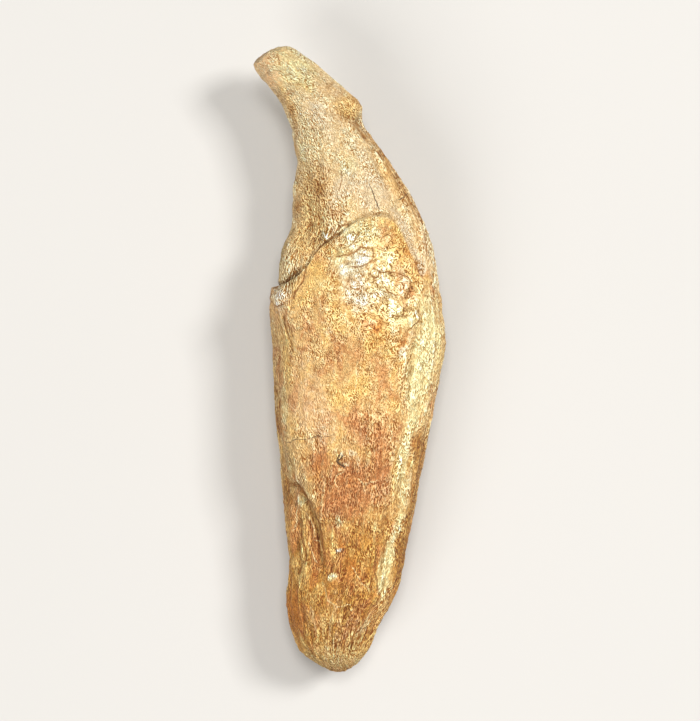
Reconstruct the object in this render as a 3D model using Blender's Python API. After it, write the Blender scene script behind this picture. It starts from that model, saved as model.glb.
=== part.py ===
"""A fossil cave bear canine tooth lying on its side, as one solid named tooth.

Frame: metres, +Z up. The length runs along Y with the worn crown tip at +Y and the
closed root end at -Y. One broad face looks up. The inner edge of the curve is on -X
and the outer edge on +X. The origin is on the surface that the tooth rests on, under
the middle of its box.

The solid is a skin of rings. Each ring is a rounded section between a point of the
inner edge and a point of the outer edge. The rings bend to follow the cement line,
where the thick root cement ends and the crown begins, so that its ledge stays sharp.
Ledges, hollows, creases and lumps then push the skin in or out along its normal.
"""

import bpy
import numpy as np
from mathutils import Vector, noise

MM = 0.001

# Driving dimensions, in millimetres. The sections and the relief below are drawn for
# a tooth of the first three sizes, and everything scales with them.
LENGTH = 112.3
WIDTH = 34.6
THICKNESS = 20.6

# Sections from the root end to the crown tip, in millimetres from the middle of the
# box: inner edge (x, y), outer edge (x, y), height of the widest level above the
# floor, rise of the upper face over that level, drop of the under face below it.
SECTIONS = (
    ((-5.8, -56.2), (1.7, -56.4), 8.2, 3.8, 3.6),
    ((-8.6, -52.9), (3.0, -53.1), 8.3, 5.3, 4.9),
    ((-9.9, -49.7), (4.8, -49.7), 8.4, 6.2, 5.7),
    ((-10.8, -46.1), (6.4, -46.1), 8.5, 6.9, 6.3),
    ((-11.2, -43.2), (7.8, -43.2), 8.6, 7.4, 6.8),
    ((-11.0, -40.0), (9.0, -39.8), 8.7, 7.9, 7.2),
    ((-10.7, -35.3), (10.1, -35.1), 8.8, 8.4, 7.8),
    ((-11.3, -30.2), (11.1, -30.1), 8.9, 9.0, 8.4),
    ((-11.4, -23.4), (12.3, -23.4), 9.0, 9.5, 8.8),
    ((-11.4, -16.2), (13.5, -16.2), 9.1, 9.9, 9.1),
    ((-12.0, -9.0), (15.2, -9.0), 9.1, 10.2, 9.2),
    ((-12.1, -3.2), (16.3, -3.2), 9.1, 10.3, 9.2),
    ((-12.45, 2.7), (17.3, 3.6), 9.2, 10.3, 9.2),
    ((-13.0, 9.4), (16.6, 9.7), 9.3, 10.1, 9.2),
    ((-12.6, 15.1), (15.8, 15.1), 9.6, 9.8, 9.1),
    ((-12.0, 19.4), (15.2, 19.8), 9.8, 9.4, 8.9),
    ((-10.4, 23.8), (14.0, 23.8), 10.1, 9.0, 8.5),
    ((-10.25, 27.0), (12.3, 27.4), 10.3, 8.6, 8.1),
    ((-10.1, 30.6), (10.3, 31.0), 10.6, 8.1, 7.6),
    ((-9.4, 34.9), (7.3, 35.5), 10.9, 7.2, 6.8),
    ((-10.2, 38.9), (4.4, 39.8), 11.2, 6.5, 6.1),
    ((-10.7, 42.1), (2.5, 42.8), 11.5, 5.9, 5.5),
    ((-11.8, 44.3), (2.3, 45.5), 11.7, 5.5, 5.1),
    ((-12.9, 46.6), (0.0, 48.2), 11.9, 5.0, 4.6),
    ((-14.8, 49.1), (-3.4, 51.1), 12.1, 4.4, 4.1),
    ((-16.4, 51.1), (-7.0, 54.0), 12.3, 3.9, 3.7),
    ((-17.6, 53.8), (-11.3, 56.8), 12.4, 3.5, 3.3),
)
ROOT_END = 4.6  # length over which the root's end closes
ROOT_END_POWER = 2.0  # 2 closes as an ellipse does
TIP_END = 1.6  # length over which the worn tip closes
TIP_END_POWER = 2.5  # over 2, so the tip is blunt
UPPER_POWER = 2.35  # roundness of a section: 2 is an ellipse, more is squarer
UNDER_POWER = 2.2
ROOT_CREST = -0.10  # share of the half width by which the crest lies off the middle
CROWN_CREST = 0.14
CREST_TURN = (10.0, 34.0)  # y between which the crest moves from one to the other
SEAT_DEPTH = 0.35  # how much the under face is worn flat where it rests

# The cement line, by place across the tooth from -1 at the inner edge to 1 at the
# outer edge: its y on the upper face and on the under face, and the height of the
# cement's ledge over the crown on each face.
LINE_ACROSS = (-1.0, -0.72, -0.58, -0.49, -0.35, -0.13, 0.05, 0.22, 0.47, 0.63, 0.78, 1.0)
LINE_UPPER = (13.0, 13.3, 17.0, 20.0, 21.6, 24.1, 25.4, 25.7, 24.4, 20.9, 16.0, 11.8)
LINE_UNDER = (13.0, 15.0, 17.0, 18.4, 20.2, 21.7, 22.0, 21.8, 20.4, 18.6, 15.6, 11.8)
LEDGE_UPPER = (1.3, 1.3, 1.2, 1.1, 0.95, 0.8, 0.65, 0.55, 0.5, 0.45, 0.35, 0.15)
LEDGE_UNDER = (1.25, 0.9, 0.7, 0.6, 0.5, 0.45, 0.4, 0.4, 0.35, 0.3, 0.2, 0.1)
LEDGE_SLOPE = 0.5  # half the length over which the ledge rises
LEDGE_FADE = (-36.0, -9.0)  # y between which the ledge melts into the root
LINE_GROOVE = (0.45, 0.3)  # half width and depth of the groove along the line
RING_BEND_REACH = 26.0  # distance from the line at which the rings run straight again

# Hollows, or lumps where the depth is negative:
# (x, y), half length, half width, lean from the tooth's length in degrees, depth
UPPER_HOLLOWS = (
    ((-7.7, 26.4), 8.5, 2.6, 2.0, 1.00),  # inner flank of the crown
    ((-7.8, -29.2), 7.5, 2.1, 18.0, 1.20),  # lost cement low on the root
    ((-10.0, -44.2), 5.0, 1.3, 8.0, 0.40),
    ((-15.9, 51.6), 2.6, 1.8, 30.0, 0.50),  # wear facet at the tip
    ((-0.9, -18.0), 1.3, 1.1, 0.0, 0.45),  # chip in the middle of the root
    ((-1.8, -34.2), 1.2, 1.0, 0.0, 0.40),
    ((-2.7, -38.7), 1.2, 0.9, -40.0, -0.40),  # stuck grain
    ((-11.2, 11.0), 1.9, 1.5, 0.0, -0.50),  # lobe below the notch
    ((-11.0, 19.5), 4.2, 1.3, -10.0, -0.45),  # swelling above the notch
    ((0.4, 46.0), 2.0, 1.6, 45.0, -0.50),  # knob on the outer edge
    ((2.5, 17.8), 1.9, 1.5, -45.0, -0.60),  # largest lobes of the rough patch
    ((9.2, 13.2), 2.2, 1.8, 20.0, -0.60),
    ((4.6, 4.6), 3.2, 1.2, -30.0, 0.40),
    ((-3.0, -8.0), 14.0, 4.0, 4.0, 0.30),
    ((12.4, -6.0), 10.0, 1.6, -6.0, 0.40),  # flutes of the outer flank
    ((8.6, -27.0), 11.0, 1.5, -10.0, 0.40),
    ((4.6, -46.0), 5.0, 1.3, -24.0, 0.35),
)
UNDER_HOLLOWS = (
    ((-5.5, 27.0), 7.0, 2.4, 0.0, 0.60),
    ((7.2, -18.0), 15.0, 2.2, -6.0, 0.55),
    ((-6.4, -36.0), 6.0, 1.8, -14.0, 0.50),
    ((4.5, 33.0), 6.0, 1.6, 26.0, 0.35),
    ((-9.5, 2.0), 4.0, 1.4, 0.0, 0.30),
    ((2.0, -46.0), 2.4, 1.6, 20.0, -0.30),
    ((9.5, 12.5), 2.2, 1.6, 10.0, -0.35),
    ((-12.0, 48.0), 3.0, 1.4, 40.0, 0.30),
)

# Creases: half width, depth, then the points that each follows.
UPPER_CREASES = (
    (0.80, 0.70, ((-9.2, -22.4), (-7.0, -26.8), (-5.7, -31.5), (-5.1, -36.2))),
    (0.70, 0.50, ((-10.3, -21.6), (-9.9, -28.0), (-9.3, -34.0), (-8.6, -38.4))),
    (1.30, 0.50, ((11.5, 2.7), (10.4, -7.2), (8.9, -18.0), (7.2, -30.6), (6.1, -39.6))),
    (0.90, 0.55, ((2.2, 42.6), (5.0, 35.1), (7.6, 28.8), (10.4, 21.6), (13.0, 15.6))),
    (0.80, 0.50, ((2.7, 42.1), (0.0, 43.2), (-2.4, 44.9))),
    (0.70, 0.35, ((1.3, 3.6), (1.1, -2.2))),
    (0.70, 0.40, ((-9.6, 15.6), (-11.2, 13.6), (-12.3, 12.0))),
)
UNDER_CREASES = (
    (0.80, 0.40, ((11.8, 6.0), (10.9, -6.0), (9.4, -18.0), (7.4, -31.0))),
    (0.50, 0.35, ((-8.8, -8.0), (-8.9, -16.0), (-8.1, -25.0))),
    (0.70, 0.30, ((3.4, 40.4), (6.4, 33.6), (9.6, 26.6))),
)

# The rough patch of knobbly cement under the cement line, as seeded small lumps.
ROUGH_MIDDLE = (4.6, 13.6)
ROUGH_HALF_SIZE = (7.2, 8.4)
ROUGH_LUMPS = 42
ROUGH_LUMP_RADIUS = (1.0, 1.7)
ROUGH_LUMP_HEIGHT = (0.35, 0.75)
ROUGH_SEED = 7

# Uneven swelling of the whole surface: (wavelength, height).
SWELLS = ((9.0, 0.28), (4.2, 0.13))

# Mesh density
RINGS_PER_END = 6
RINGS_BETWEEN = 80
LINE_WEIGHT = 1.3  # how much closer the rings lie near the cement line
LINE_REACH = 14.0
POINTS_PER_RING = 52
UPPER_WEIGHT = 1.4  # how much closer the points lie on the upper face
SECTION_SHAPE = 1.6  # width of a middle section over its thickness
FINE_STEPS = 1441  # steps over which uneven spacing is added up

CEMENT_COLOUR = (0.60, 0.36, 0.15, 1.0)


def smooth_curve(at, knots, values):
    """Values at some distances, on a curve that passes every knot with no corner."""
    knots = np.asarray(knots, float)
    values = np.asarray(values, float)
    slopes = np.gradient(values, knots, axis=0)
    at = np.asarray(at, float)
    left = np.clip(np.searchsorted(knots, at, side="right") - 1, 0, len(knots) - 2)
    span = knots[left + 1] - knots[left]
    t = (at - knots[left]) / span
    if values.ndim > 1:
        t = t[..., None]
        span = span[..., None]
    return (
        (2 * t**3 - 3 * t**2 + 1) * values[left]
        + (t**3 - 2 * t**2 + t) * span * slopes[left]
        + (3 * t**2 - 2 * t**3) * values[left + 1]
        + (t**3 - t**2) * span * slopes[left + 1]
    )


def ease(value, start, end):
    """0 before start, 1 after end, and a smooth rise between them."""
    t = np.clip((value - start) / (end - start), 0.0, 1.0)
    return t * t * (3 - 2 * t)


def closing(distance, length, power):
    """Share of the full width at a distance from an end that closes over a length."""
    t = np.clip(distance / length, 0.0, 1.0)
    return (1 - (1 - t) ** power) ** (1 / power)


def signed_power(value, power):
    return np.sign(value) * np.abs(value) ** power


def spine():
    """The sections as rows of numbers, and each one's distance along the tooth."""
    rows = np.array([[*inner, *outer, *heights] for inner, outer, *heights in SECTIONS])
    middles = (rows[:, 0:2] + rows[:, 2:4]) / 2
    steps = np.linalg.norm(np.diff(middles, axis=0), axis=1)
    return rows, np.concatenate([[0.0], np.cumsum(steps)])


def across_of(angle):
    """Place across the tooth, -1 to 1, and height share, -1 to 1, at a ring's angle."""
    upper = np.sin(angle) >= 0
    power = 2 / np.where(upper, UPPER_POWER, UNDER_POWER)
    return signed_power(np.cos(angle), power), signed_power(np.sin(angle), power)


def line_distance(angle):
    """Distance along the tooth of the cement line at each angle of a ring."""
    rows, along = spine()
    across, _ = across_of(angle)
    upper = smooth_curve(across, LINE_ACROSS, LINE_UPPER)
    under = smooth_curve(across, LINE_ACROSS, LINE_UNDER)
    line_y = np.where(np.sin(angle) >= 0, upper, under)
    middle_y = (rows[:, 1] + rows[:, 3]) / 2
    return np.interp(line_y, middle_y, along)


def spread(low, high, count, weight_at):
    """Places from low to high, closer together where the weight is larger."""
    fine = np.linspace(low, high, FINE_STEPS)
    walked = np.concatenate([[0.0], np.cumsum(weight_at((fine[1:] + fine[:-1]) / 2))])
    return np.interp(np.linspace(0.0, walked[-1], count), walked, fine)


def ring_distances(line_middle):
    """Distance along the tooth of each ring, closer at both ends and near the line."""
    _, along = spine()
    length = along[-1]
    turn = np.linspace(0.0, np.pi / 2, RINGS_PER_END + 1)
    opening = 1 - np.cos(turn)
    root = opening[1:-1] * ROOT_END
    tip = length - (opening[1:-1] * TIP_END)[::-1]

    def weight_at(place):
        return 1 + LINE_WEIGHT * np.exp(-(((place - line_middle) / LINE_REACH) ** 2))

    between = spread(ROOT_END, length - TIP_END, RINGS_BETWEEN, weight_at)
    return np.concatenate([root, between, tip])


def ring_angles():
    """Angle of each point of a ring: even steps on each face, closer on the upper one."""

    def weight_at(angle):
        across, up = across_of(angle)
        step = np.hypot(SECTION_SHAPE * np.gradient(across), np.gradient(up))
        return step * np.where(np.sin(angle) >= 0, UPPER_WEIGHT, 1.0)

    return spread(0.0, 2 * np.pi, POINTS_PER_RING + 1, weight_at)[:-1]


def grid():
    """Distance along the tooth and angle round it of every point of the skin."""
    angles = ring_angles()
    line = line_distance(angles)
    middle = line.mean()
    rings = ring_distances(middle)
    near = 1 - ease(np.abs(rings - middle), 0.0, RING_BEND_REACH)
    distance = rings[:, None] + near[:, None] * (line - middle)[None, :]
    return distance, np.broadcast_to(angles, distance.shape)


def base_points(distance, angle):
    """The smooth skin before any relief, in millimetres."""
    rows, along = spine()
    values = smooth_curve(distance, along, rows)
    inner, outer = values[..., 0:2], values[..., 2:4]
    level, rise, drop = values[..., 4], values[..., 5], values[..., 6]
    open_share = closing(distance, ROOT_END, ROOT_END_POWER) * closing(
        along[-1] - distance, TIP_END, TIP_END_POWER
    )
    across, up = across_of(angle)
    middle = (inner + outer) / 2
    half = (outer - inner) / 2
    crest = ROOT_CREST + (CROWN_CREST - ROOT_CREST) * ease(middle[..., 1], *CREST_TURN)
    place = (across + crest * up**2) * open_share
    height = np.where(up >= 0, rise, drop) * up * open_share
    plan = middle + half * place[..., None]
    return np.concatenate([plan, (level + height)[..., None]], axis=-1)


def normals_of(points):
    """Outward unit normals of a grid of points that closes on itself round each ring."""
    along = np.gradient(points, axis=0)
    round_ring = np.roll(points, -1, axis=1) - np.roll(points, 1, axis=1)
    normal = np.cross(along, round_ring)
    return normal / np.linalg.norm(normal, axis=-1, keepdims=True)


def hollow_depth(points, hollows):
    """Depth of a list of oval hollows at each point, read in plan."""
    depth = np.zeros(points.shape[:-1])
    for (x, y), half_length, half_width, lean, deepest in hollows:
        turn = np.radians(lean)
        dx, dy = points[..., 0] - x, points[..., 1] - y
        lengthwise = (dy * np.cos(turn) - dx * np.sin(turn)) / half_length
        widthwise = (dx * np.cos(turn) + dy * np.sin(turn)) / half_width
        depth += deepest * np.exp(-(lengthwise**2) - widthwise**2)
    return depth


def distance_to_path(points, path):
    """Distance in plan from each point to a path of straight pieces."""
    nearest = np.full(points.shape[:-1], np.inf)
    plan = points[..., 0:2]
    for start, end in zip(path, path[1:]):
        start, end = np.array(start), np.array(end)
        run = end - start
        share = np.clip(((plan - start) @ run) / (run @ run), 0.0, 1.0)
        gap = np.linalg.norm(plan - (start + share[..., None] * run), axis=-1)
        nearest = np.minimum(nearest, gap)
    return nearest


def crease_depth(points, creases):
    depth = np.zeros(points.shape[:-1])
    for half_width, deepest, path in creases:
        depth += deepest * np.exp(-((distance_to_path(points, path) / half_width) ** 2))
    return depth


def rough_height(points):
    """The rough patch: round lumps scattered in an oval, with furrows where they meet."""
    random = np.random.default_rng(ROUGH_SEED)
    height = np.zeros(points.shape[:-1])
    for _ in range(ROUGH_LUMPS):
        turn = random.uniform(0, 2 * np.pi)
        reach = np.sqrt(random.uniform(0, 1))
        x = ROUGH_MIDDLE[0] + ROUGH_HALF_SIZE[0] * reach * np.cos(turn)
        y = ROUGH_MIDDLE[1] + ROUGH_HALF_SIZE[1] * reach * np.sin(turn)
        half_length = random.uniform(*ROUGH_LUMP_RADIUS)
        half_width = half_length * random.uniform(0.6, 1.0)
        lean = random.uniform(0, 180)
        tallest = random.uniform(*ROUGH_LUMP_HEIGHT)
        lump = ((x, y), half_length, half_width, lean, tallest)
        height = np.maximum(height, hollow_depth(points, [lump]))
    return height


def ledge_height(points, distance, angle):
    """Height of the root cement over the crown, and the groove along the line."""
    across, _ = across_of(angle)
    upper = np.interp(across, LINE_ACROSS, LEDGE_UPPER)
    under = np.interp(across, LINE_ACROSS, LEDGE_UNDER)
    ledge = np.where(np.sin(angle) >= 0, upper, under)
    below = line_distance(angle) - distance
    rise = ease(below, -LEDGE_SLOPE, LEDGE_SLOPE)
    fade = ease(points[..., 1], *LEDGE_FADE)
    half_width, depth = LINE_GROOVE
    groove = depth * np.exp(-(((below + LEDGE_SLOPE) / half_width) ** 2))
    return ledge * rise * fade - groove


def swell_height(points):
    """Low uneven swelling, from smooth noise."""
    flat = points.reshape(-1, 3)
    heights = np.zeros(len(flat))
    for wavelength, height in SWELLS:
        found = [noise.noise(Vector(point / wavelength)) for point in flat]
        heights += height * np.array(found)
    return heights.reshape(points.shape[:-1])


def skin():
    """The finished skin in millimetres: a grid of rings, the root pole and the tip pole."""
    _, along = spine()
    distance, angle = grid()
    points = base_points(distance, angle)
    upper = ease(np.sin(angle), 0.0, 0.3)
    under = ease(-np.sin(angle), 0.0, 0.3)
    relief = ledge_height(points, distance, angle) + swell_height(points)
    relief += upper * rough_height(points)
    relief -= upper * hollow_depth(points, UPPER_HOLLOWS)
    relief -= under * hollow_depth(points, UNDER_HOLLOWS)
    relief -= upper * crease_depth(points, UPPER_CREASES)
    relief -= under * crease_depth(points, UNDER_CREASES)
    end_share = np.minimum(distance, along[-1] - distance) / TIP_END
    relief *= np.clip(end_share, 0.0, 1.0)
    skinned = points + relief[..., None] * normals_of(points)
    poles = base_points(np.array([0.0, along[-1]]), np.array([0.0, 0.0]))
    return skinned, poles


def seated(points, poles):
    """The skin scaled to the driving sizes, centred in plan and worn flat at z = 0."""
    everything = np.concatenate([points.reshape(-1, 3), poles])
    low, high = everything.min(axis=0), everything.max(axis=0)
    middle = np.array([(low[0] + high[0]) / 2, (low[1] + high[1]) / 2, low[2]])
    sizes = np.array([WIDTH, LENGTH, THICKNESS + SEAT_DEPTH])
    scale = sizes / (high - low)
    sink = np.array([0.0, 0.0, SEAT_DEPTH])

    def place(values):
        placed = (values - middle) * scale - sink
        placed[..., 2] = np.maximum(placed[..., 2], 0.0)
        return placed * MM

    return place(points), place(poles)


def faces_of(rings, per_ring):
    """Four-sided faces between the rings, and a fan of triangles at each pole."""
    root_pole = rings * per_ring
    tip_pole = root_pole + 1
    faces = []
    for ring in range(rings - 1):
        for i in range(per_ring):
            j = (i + 1) % per_ring
            here, above = ring * per_ring, (ring + 1) * per_ring
            faces.append((here + i, above + i, above + j, here + j))
    last = (rings - 1) * per_ring
    for i in range(per_ring):
        j = (i + 1) % per_ring
        faces.append((root_pole, i, j))
        faces.append((tip_pole, last + j, last + i))
    return faces


def cement_material():
    material = bpy.data.materials.new("fossil_cement")
    material.use_nodes = True
    shader = material.node_tree.nodes["Principled BSDF"]
    shader.inputs["Base Color"].default_value = CEMENT_COLOUR
    shader.inputs["Roughness"].default_value = 0.6
    shader.inputs["Metallic"].default_value = 0.0
    return material


def build_tooth():
    points, poles = seated(*skin())
    rings, per_ring = points.shape[0:2]
    vertices = [*points.reshape(-1, 3).tolist(), *poles.tolist()]
    mesh = bpy.data.meshes.new("tooth")
    mesh.from_pydata(vertices, [], faces_of(rings, per_ring))
    mesh.update()
    mesh.shade_smooth()
    mesh.materials.append(cement_material())
    tooth = bpy.data.objects.new("tooth", mesh)
    bpy.context.scene.collection.objects.link(tooth)
    return tooth


def main():
    for old in list(bpy.data.objects):
        bpy.data.objects.remove(old)
    build_tooth()


main()
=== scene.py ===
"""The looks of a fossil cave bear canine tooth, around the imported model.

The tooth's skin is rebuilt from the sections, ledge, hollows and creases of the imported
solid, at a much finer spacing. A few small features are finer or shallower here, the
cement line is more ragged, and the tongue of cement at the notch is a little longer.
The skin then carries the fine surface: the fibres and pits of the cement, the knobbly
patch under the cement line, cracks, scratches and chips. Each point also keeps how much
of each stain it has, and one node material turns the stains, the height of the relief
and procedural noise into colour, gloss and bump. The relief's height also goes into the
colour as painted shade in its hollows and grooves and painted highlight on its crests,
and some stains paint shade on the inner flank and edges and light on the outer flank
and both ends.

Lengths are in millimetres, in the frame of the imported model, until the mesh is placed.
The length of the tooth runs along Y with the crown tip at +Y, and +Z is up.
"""

import bpy
import numpy as np
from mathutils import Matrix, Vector, noise


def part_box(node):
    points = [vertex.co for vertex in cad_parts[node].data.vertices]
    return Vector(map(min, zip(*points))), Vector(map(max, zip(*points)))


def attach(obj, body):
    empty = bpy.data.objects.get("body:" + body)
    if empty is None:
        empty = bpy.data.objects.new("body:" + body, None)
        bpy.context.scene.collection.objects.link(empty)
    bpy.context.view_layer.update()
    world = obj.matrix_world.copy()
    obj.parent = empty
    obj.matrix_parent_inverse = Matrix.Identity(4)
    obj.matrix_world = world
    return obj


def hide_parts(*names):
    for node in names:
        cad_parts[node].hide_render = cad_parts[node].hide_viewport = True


MM = 0.001

# ---------------------------------------------------------------- form of the tooth
# Sections from the root end to the crown tip: x and y of the inner edge and of the outer
# edge, height of the widest level, rise of the upper face over it, drop of the under face.
SECTIONS = (
    (-5.8, -56.2, 1.7, -56.4, 8.2, 3.8, 3.6), (-8.6, -52.9, 3, -53.1, 8.3, 5.3, 4.9),
    (-9.9, -49.7, 4.8, -49.7, 8.4, 6.2, 5.7), (-10.8, -46.1, 6.4, -46.1, 8.5, 6.9, 6.3),
    (-11.2, -43.2, 7.8, -43.2, 8.6, 7.4, 6.8), (-11, -40, 9, -39.8, 8.7, 7.9, 7.2),
    (-10.7, -35.3, 10.1, -35.1, 8.8, 8.4, 7.8), (-11.3, -30.2, 11.1, -30.1, 8.9, 9, 8.4),
    (-11.4, -23.4, 12.3, -23.4, 9, 9.5, 8.8), (-11.4, -16.2, 13.5, -16.2, 9.1, 9.9, 9.1),
    (-12, -9, 15.2, -9, 9.1, 10.2, 9.2), (-12.1, -3.2, 16.3, -3.2, 9.1, 10.3, 9.2),
    (-12.45, 2.7, 17.3, 3.6, 9.2, 10.3, 9.2), (-13, 9.4, 16.6, 9.7, 9.3, 10.1, 9.2),
    (-12.6, 15.1, 15.8, 15.1, 9.6, 9.8, 9.1), (-12, 19.4, 15.2, 19.8, 9.8, 9.4, 8.9),
    (-10.4, 23.8, 14, 23.8, 10.1, 9, 8.5), (-10.25, 27, 12.3, 27.4, 10.3, 8.6, 8.1),
    (-10.1, 30.6, 10.3, 31, 10.6, 8.1, 7.6), (-9.4, 34.9, 7.3, 35.5, 10.9, 7.2, 6.8),
    (-10.2, 38.9, 4.4, 39.8, 11.2, 6.5, 6.1), (-10.7, 42.1, 2.5, 42.8, 11.5, 5.9, 5.5),
    (-11.8, 44.3, 2.3, 45.5, 11.7, 5.5, 5.1), (-12.9, 46.6, 0, 48.2, 11.9, 5, 4.6),
    (-14.8, 49.1, -3.4, 51.1, 12.1, 4.4, 4.1), (-16.4, 51.1, -7, 54, 12.3, 3.9, 3.7),
    (-17.6, 53.8, -11.3, 56.8, 12.4, 3.5, 3.3),
)
ROOT_END = 4.6  # length over which the root's end closes
ROOT_END_POWER = 2.0
TIP_END = 1.6
TIP_END_POWER = 2.5
END_CALM = 0.5  # share of the section round each pole over which the relief fades
UPPER_POWER = 2.35  # roundness of a section: 2 is an ellipse, more is squarer
UNDER_POWER = 2.2
ROOT_CREST = -0.10  # share of the half width by which the crest lies off the middle
CROWN_CREST = 0.14
CREST_TURN = (10.0, 34.0)  # y between which the one crest turns into the other
SEAT_DEPTH = 0.35  # how much the under face is worn flat where it rests

# The cement line by place across the tooth, its y on each face and its ledge's height.
LINE_ACROSS = (-1.0, -0.72, -0.58, -0.49, -0.35, -0.13, 0.05, 0.22, 0.47, 0.63, 0.78, 1.0)
LINE_UPPER = (13.0, 14.6, 17.0, 20.0, 21.6, 24.1, 25.4, 25.7, 24.4, 20.9, 16.0, 11.8)
LINE_UNDER = (13.0, 15.0, 17.0, 18.4, 20.2, 21.7, 22.0, 21.8, 20.4, 18.6, 15.6, 11.8)
LEDGE_UPPER = (1.3, 1.3, 1.2, 1.1, 0.95, 0.8, 0.65, 0.55, 0.5, 0.45, 0.35, 0.15)
LEDGE_UNDER = (1.25, 0.9, 0.7, 0.6, 0.5, 0.45, 0.4, 0.4, 0.35, 0.3, 0.2, 0.1)
LEDGE_SLOPE = 0.34  # half the length over which the ledge rises
LEDGE_FADE = (-36.0, -9.0)  # y between which the ledge melts into the root
LINE_GROOVE = (0.34, 0.34)  # depth and half width of the groove along the line
LINE_STRAYS = ((0.35, 1.9, 5.0), (0.14, 0.7, 9.0))  # reach, wavelength and shift of its noise
RING_BEND_REACH = 26.0  # distance from the line at which the rings run straight again

# Hollows, or lumps where the depth is negative: depth, x, y, half length, half width, and
# the lean from the tooth's length in degrees, if any.
UPPER_HOLLOWS = (
    (1, -7.7, 26.4, 8.5, 2.6, 2),  # inner flank of the crown
    (1.2, -7.8, -29.2, 7.5, 2.1, 18),  # lost cement low on the root
    (0.4, -10, -44.2, 5, 1.3, 8),
    (0.3, -15.9, 51.6, 2.6, 1.8, 30),  # wear facet at the tip
    (0.3, -0.9, -18, 1.3, 1.1),  # chip in the middle of the root
    (-0.5, -11.2, 11, 1.9, 1.5),  # lobe below the notch
    (-0.45, -11, 19.5, 4.2, 1.3, -10),  # swelling above the notch
    (-0.5, 0.4, 46, 2, 1.6, 45),  # knob on the outer edge
    (-0.5, 2.5, 17.8, 1.9, 1.5, -45),  # largest lobes of the rough patch
    (-0.5, 9.2, 13.2, 2.2, 1.8, 20), (0.4, 4.6, 4.6, 3.2, 1.2, -30), (0.3, -3, -8, 14, 4, 4),
    (0.4, 12.4, -6, 10, 1.6, -6),  # flutes of the outer flank
    (0.4, 8.6, -27, 11, 1.5, -10), (0.35, 4.6, -46, 5, 1.3, -24),
)
UNDER_HOLLOWS = (
    (0.6, -5.5, 27, 7, 2.4), (0.55, 7.2, -18, 15, 2.2, -6), (0.5, -6.4, -36, 6, 1.8, -14),
    (0.35, 4.5, 33, 6, 1.6, 26), (0.3, -9.5, 2, 4, 1.4), (-0.3, 2, -46, 2.4, 1.6, 20),
    (-0.35, 9.5, 12.5, 2.2, 1.6, 10), (0.3, -12, 48, 3, 1.4, 40),
)

# Creases: depth, half width, then x, y of each point that the crease follows.
UPPER_CREASES = (
    (0.75, 0.6, -9.2, -22.4, -7, -26.8, -5.7, -31.5, -5.1, -36.2),
    (0.5, 0.55, -10.3, -21.6, -9.9, -28, -9.3, -34, -8.6, -38.4),
    (0.5, 1.3, 11.5, 2.7, 10.4, -7.2, 8.9, -18, 7.2, -30.6, 6.1, -39.6),
    (0.55, 0.7, 2.2, 42.6, 5, 35.1, 7.6, 28.8, 10.4, 21.6, 13, 15.6),
    (0.5, 0.6, 2.7, 42.1, 0, 43.2, -2.4, 44.9), (0.3, 0.45, 1.3, 3.6, 1.1, -2.2),
    (0.45, 0.5, -9.6, 15.6, -11.2, 13.6, -12.3, 12),
)
UNDER_CREASES = (
    (0.4, 0.8, 11.8, 6, 10.9, -6, 9.4, -18, 7.4, -31), (0.35, 0.5, -8.8, -8, -8.9, -16, -8.1, -25),
    (0.3, 0.7, 3.4, 40.4, 6.4, 33.6, 9.6, 26.6),
)
SWELLS = ((0.28, 9.0), (0.13, 4.2))  # height and wavelength of the uneven swelling

# ---------------------------------------------------------------- mesh density
RINGS_PER_END = 20
RINGS_BETWEEN = 356
LINE_WEIGHT = 0.5  # how much closer the rings lie near the cement line
LINE_REACH = 14.0  # distance over which they do
POINTS_PER_RING = 250
UPPER_WEIGHT = 1.5  # how much closer the points lie on the upper face
SECTION_SHAPE = 1.6  # width of a middle section over its thickness
FINE_STEPS = 2881  # steps over which uneven spacing is added up

# ---------------------------------------------------------------- fine relief
STAIN_SIDE = (-0.10, 0.20)  # sines of a ring's angle between which the upper stains begin
RELIEF_SIDE = (0.0, 0.3)  # the same for each face's own relief
GRAIN_RADIUS = 13.0  # of the cylinder that the grain is drawn on, where the tooth is widest
GRAIN_LEAST = 0.05  # least share of the widest section that the cylinder follows
GRAIN_FLATNESS = 0.7  # height of the cylinder's section over its width
ROOT_FAN = 0.45  # how much more the fibres spread from the root's end
FAN_REACH = (1.0, 15.0)  # distances from that end between which the spread fades
# The y between which the fibres low on the root end. For each flank, the distances from
# the middle between which its fibres begin, and the y between which they end.
FIBROUS_LOW = (-22.0, 2.0)
FIBROUS_OUTER = ((7.0, 12.0), (8.0, 22.0))
FIBROUS_INNER = ((8.5, 11.5), (6.0, 14.0))
FIBROUS_LEAST = 0.3
FIBRES = ((1.9, 14.0, 0.15), (0.95, 8.0, 0.10))  # width, length and height
RIDGE_SHARPNESS = 3.2
PITTING = ((2.3, 0.110), (1.2, 0.075), (0.7, 0.050))  # wavelength and depth
PITTING_GAIN = 2.4
# Round pits, one in some cells of a scatter.
PIT_SPACING = 1.25
PIT_RADIUS = 0.42  # over the spacing
PIT_SHARE = 0.45  # share of the cells that hold a pit
PIT_DEPTH = 0.16
PIT_CHANCE_SCALE = 7.3  # spreads the cells' centres apart for the noise that draws lots
PITS_LOST_TO_FIBRES = 0.8
FIBRES_LOST_TO_ENAMEL = 0.8
PITTING_LOST_TO_ENAMEL = 0.75
GOLD_AS_ENAMEL = 0.6  # how far the gold stain counts as enamel there
ROUGH_OVAL = (4.9, 13.4, 8.8, 7.6)  # the knobbly patch: x, y, half length, half width
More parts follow.
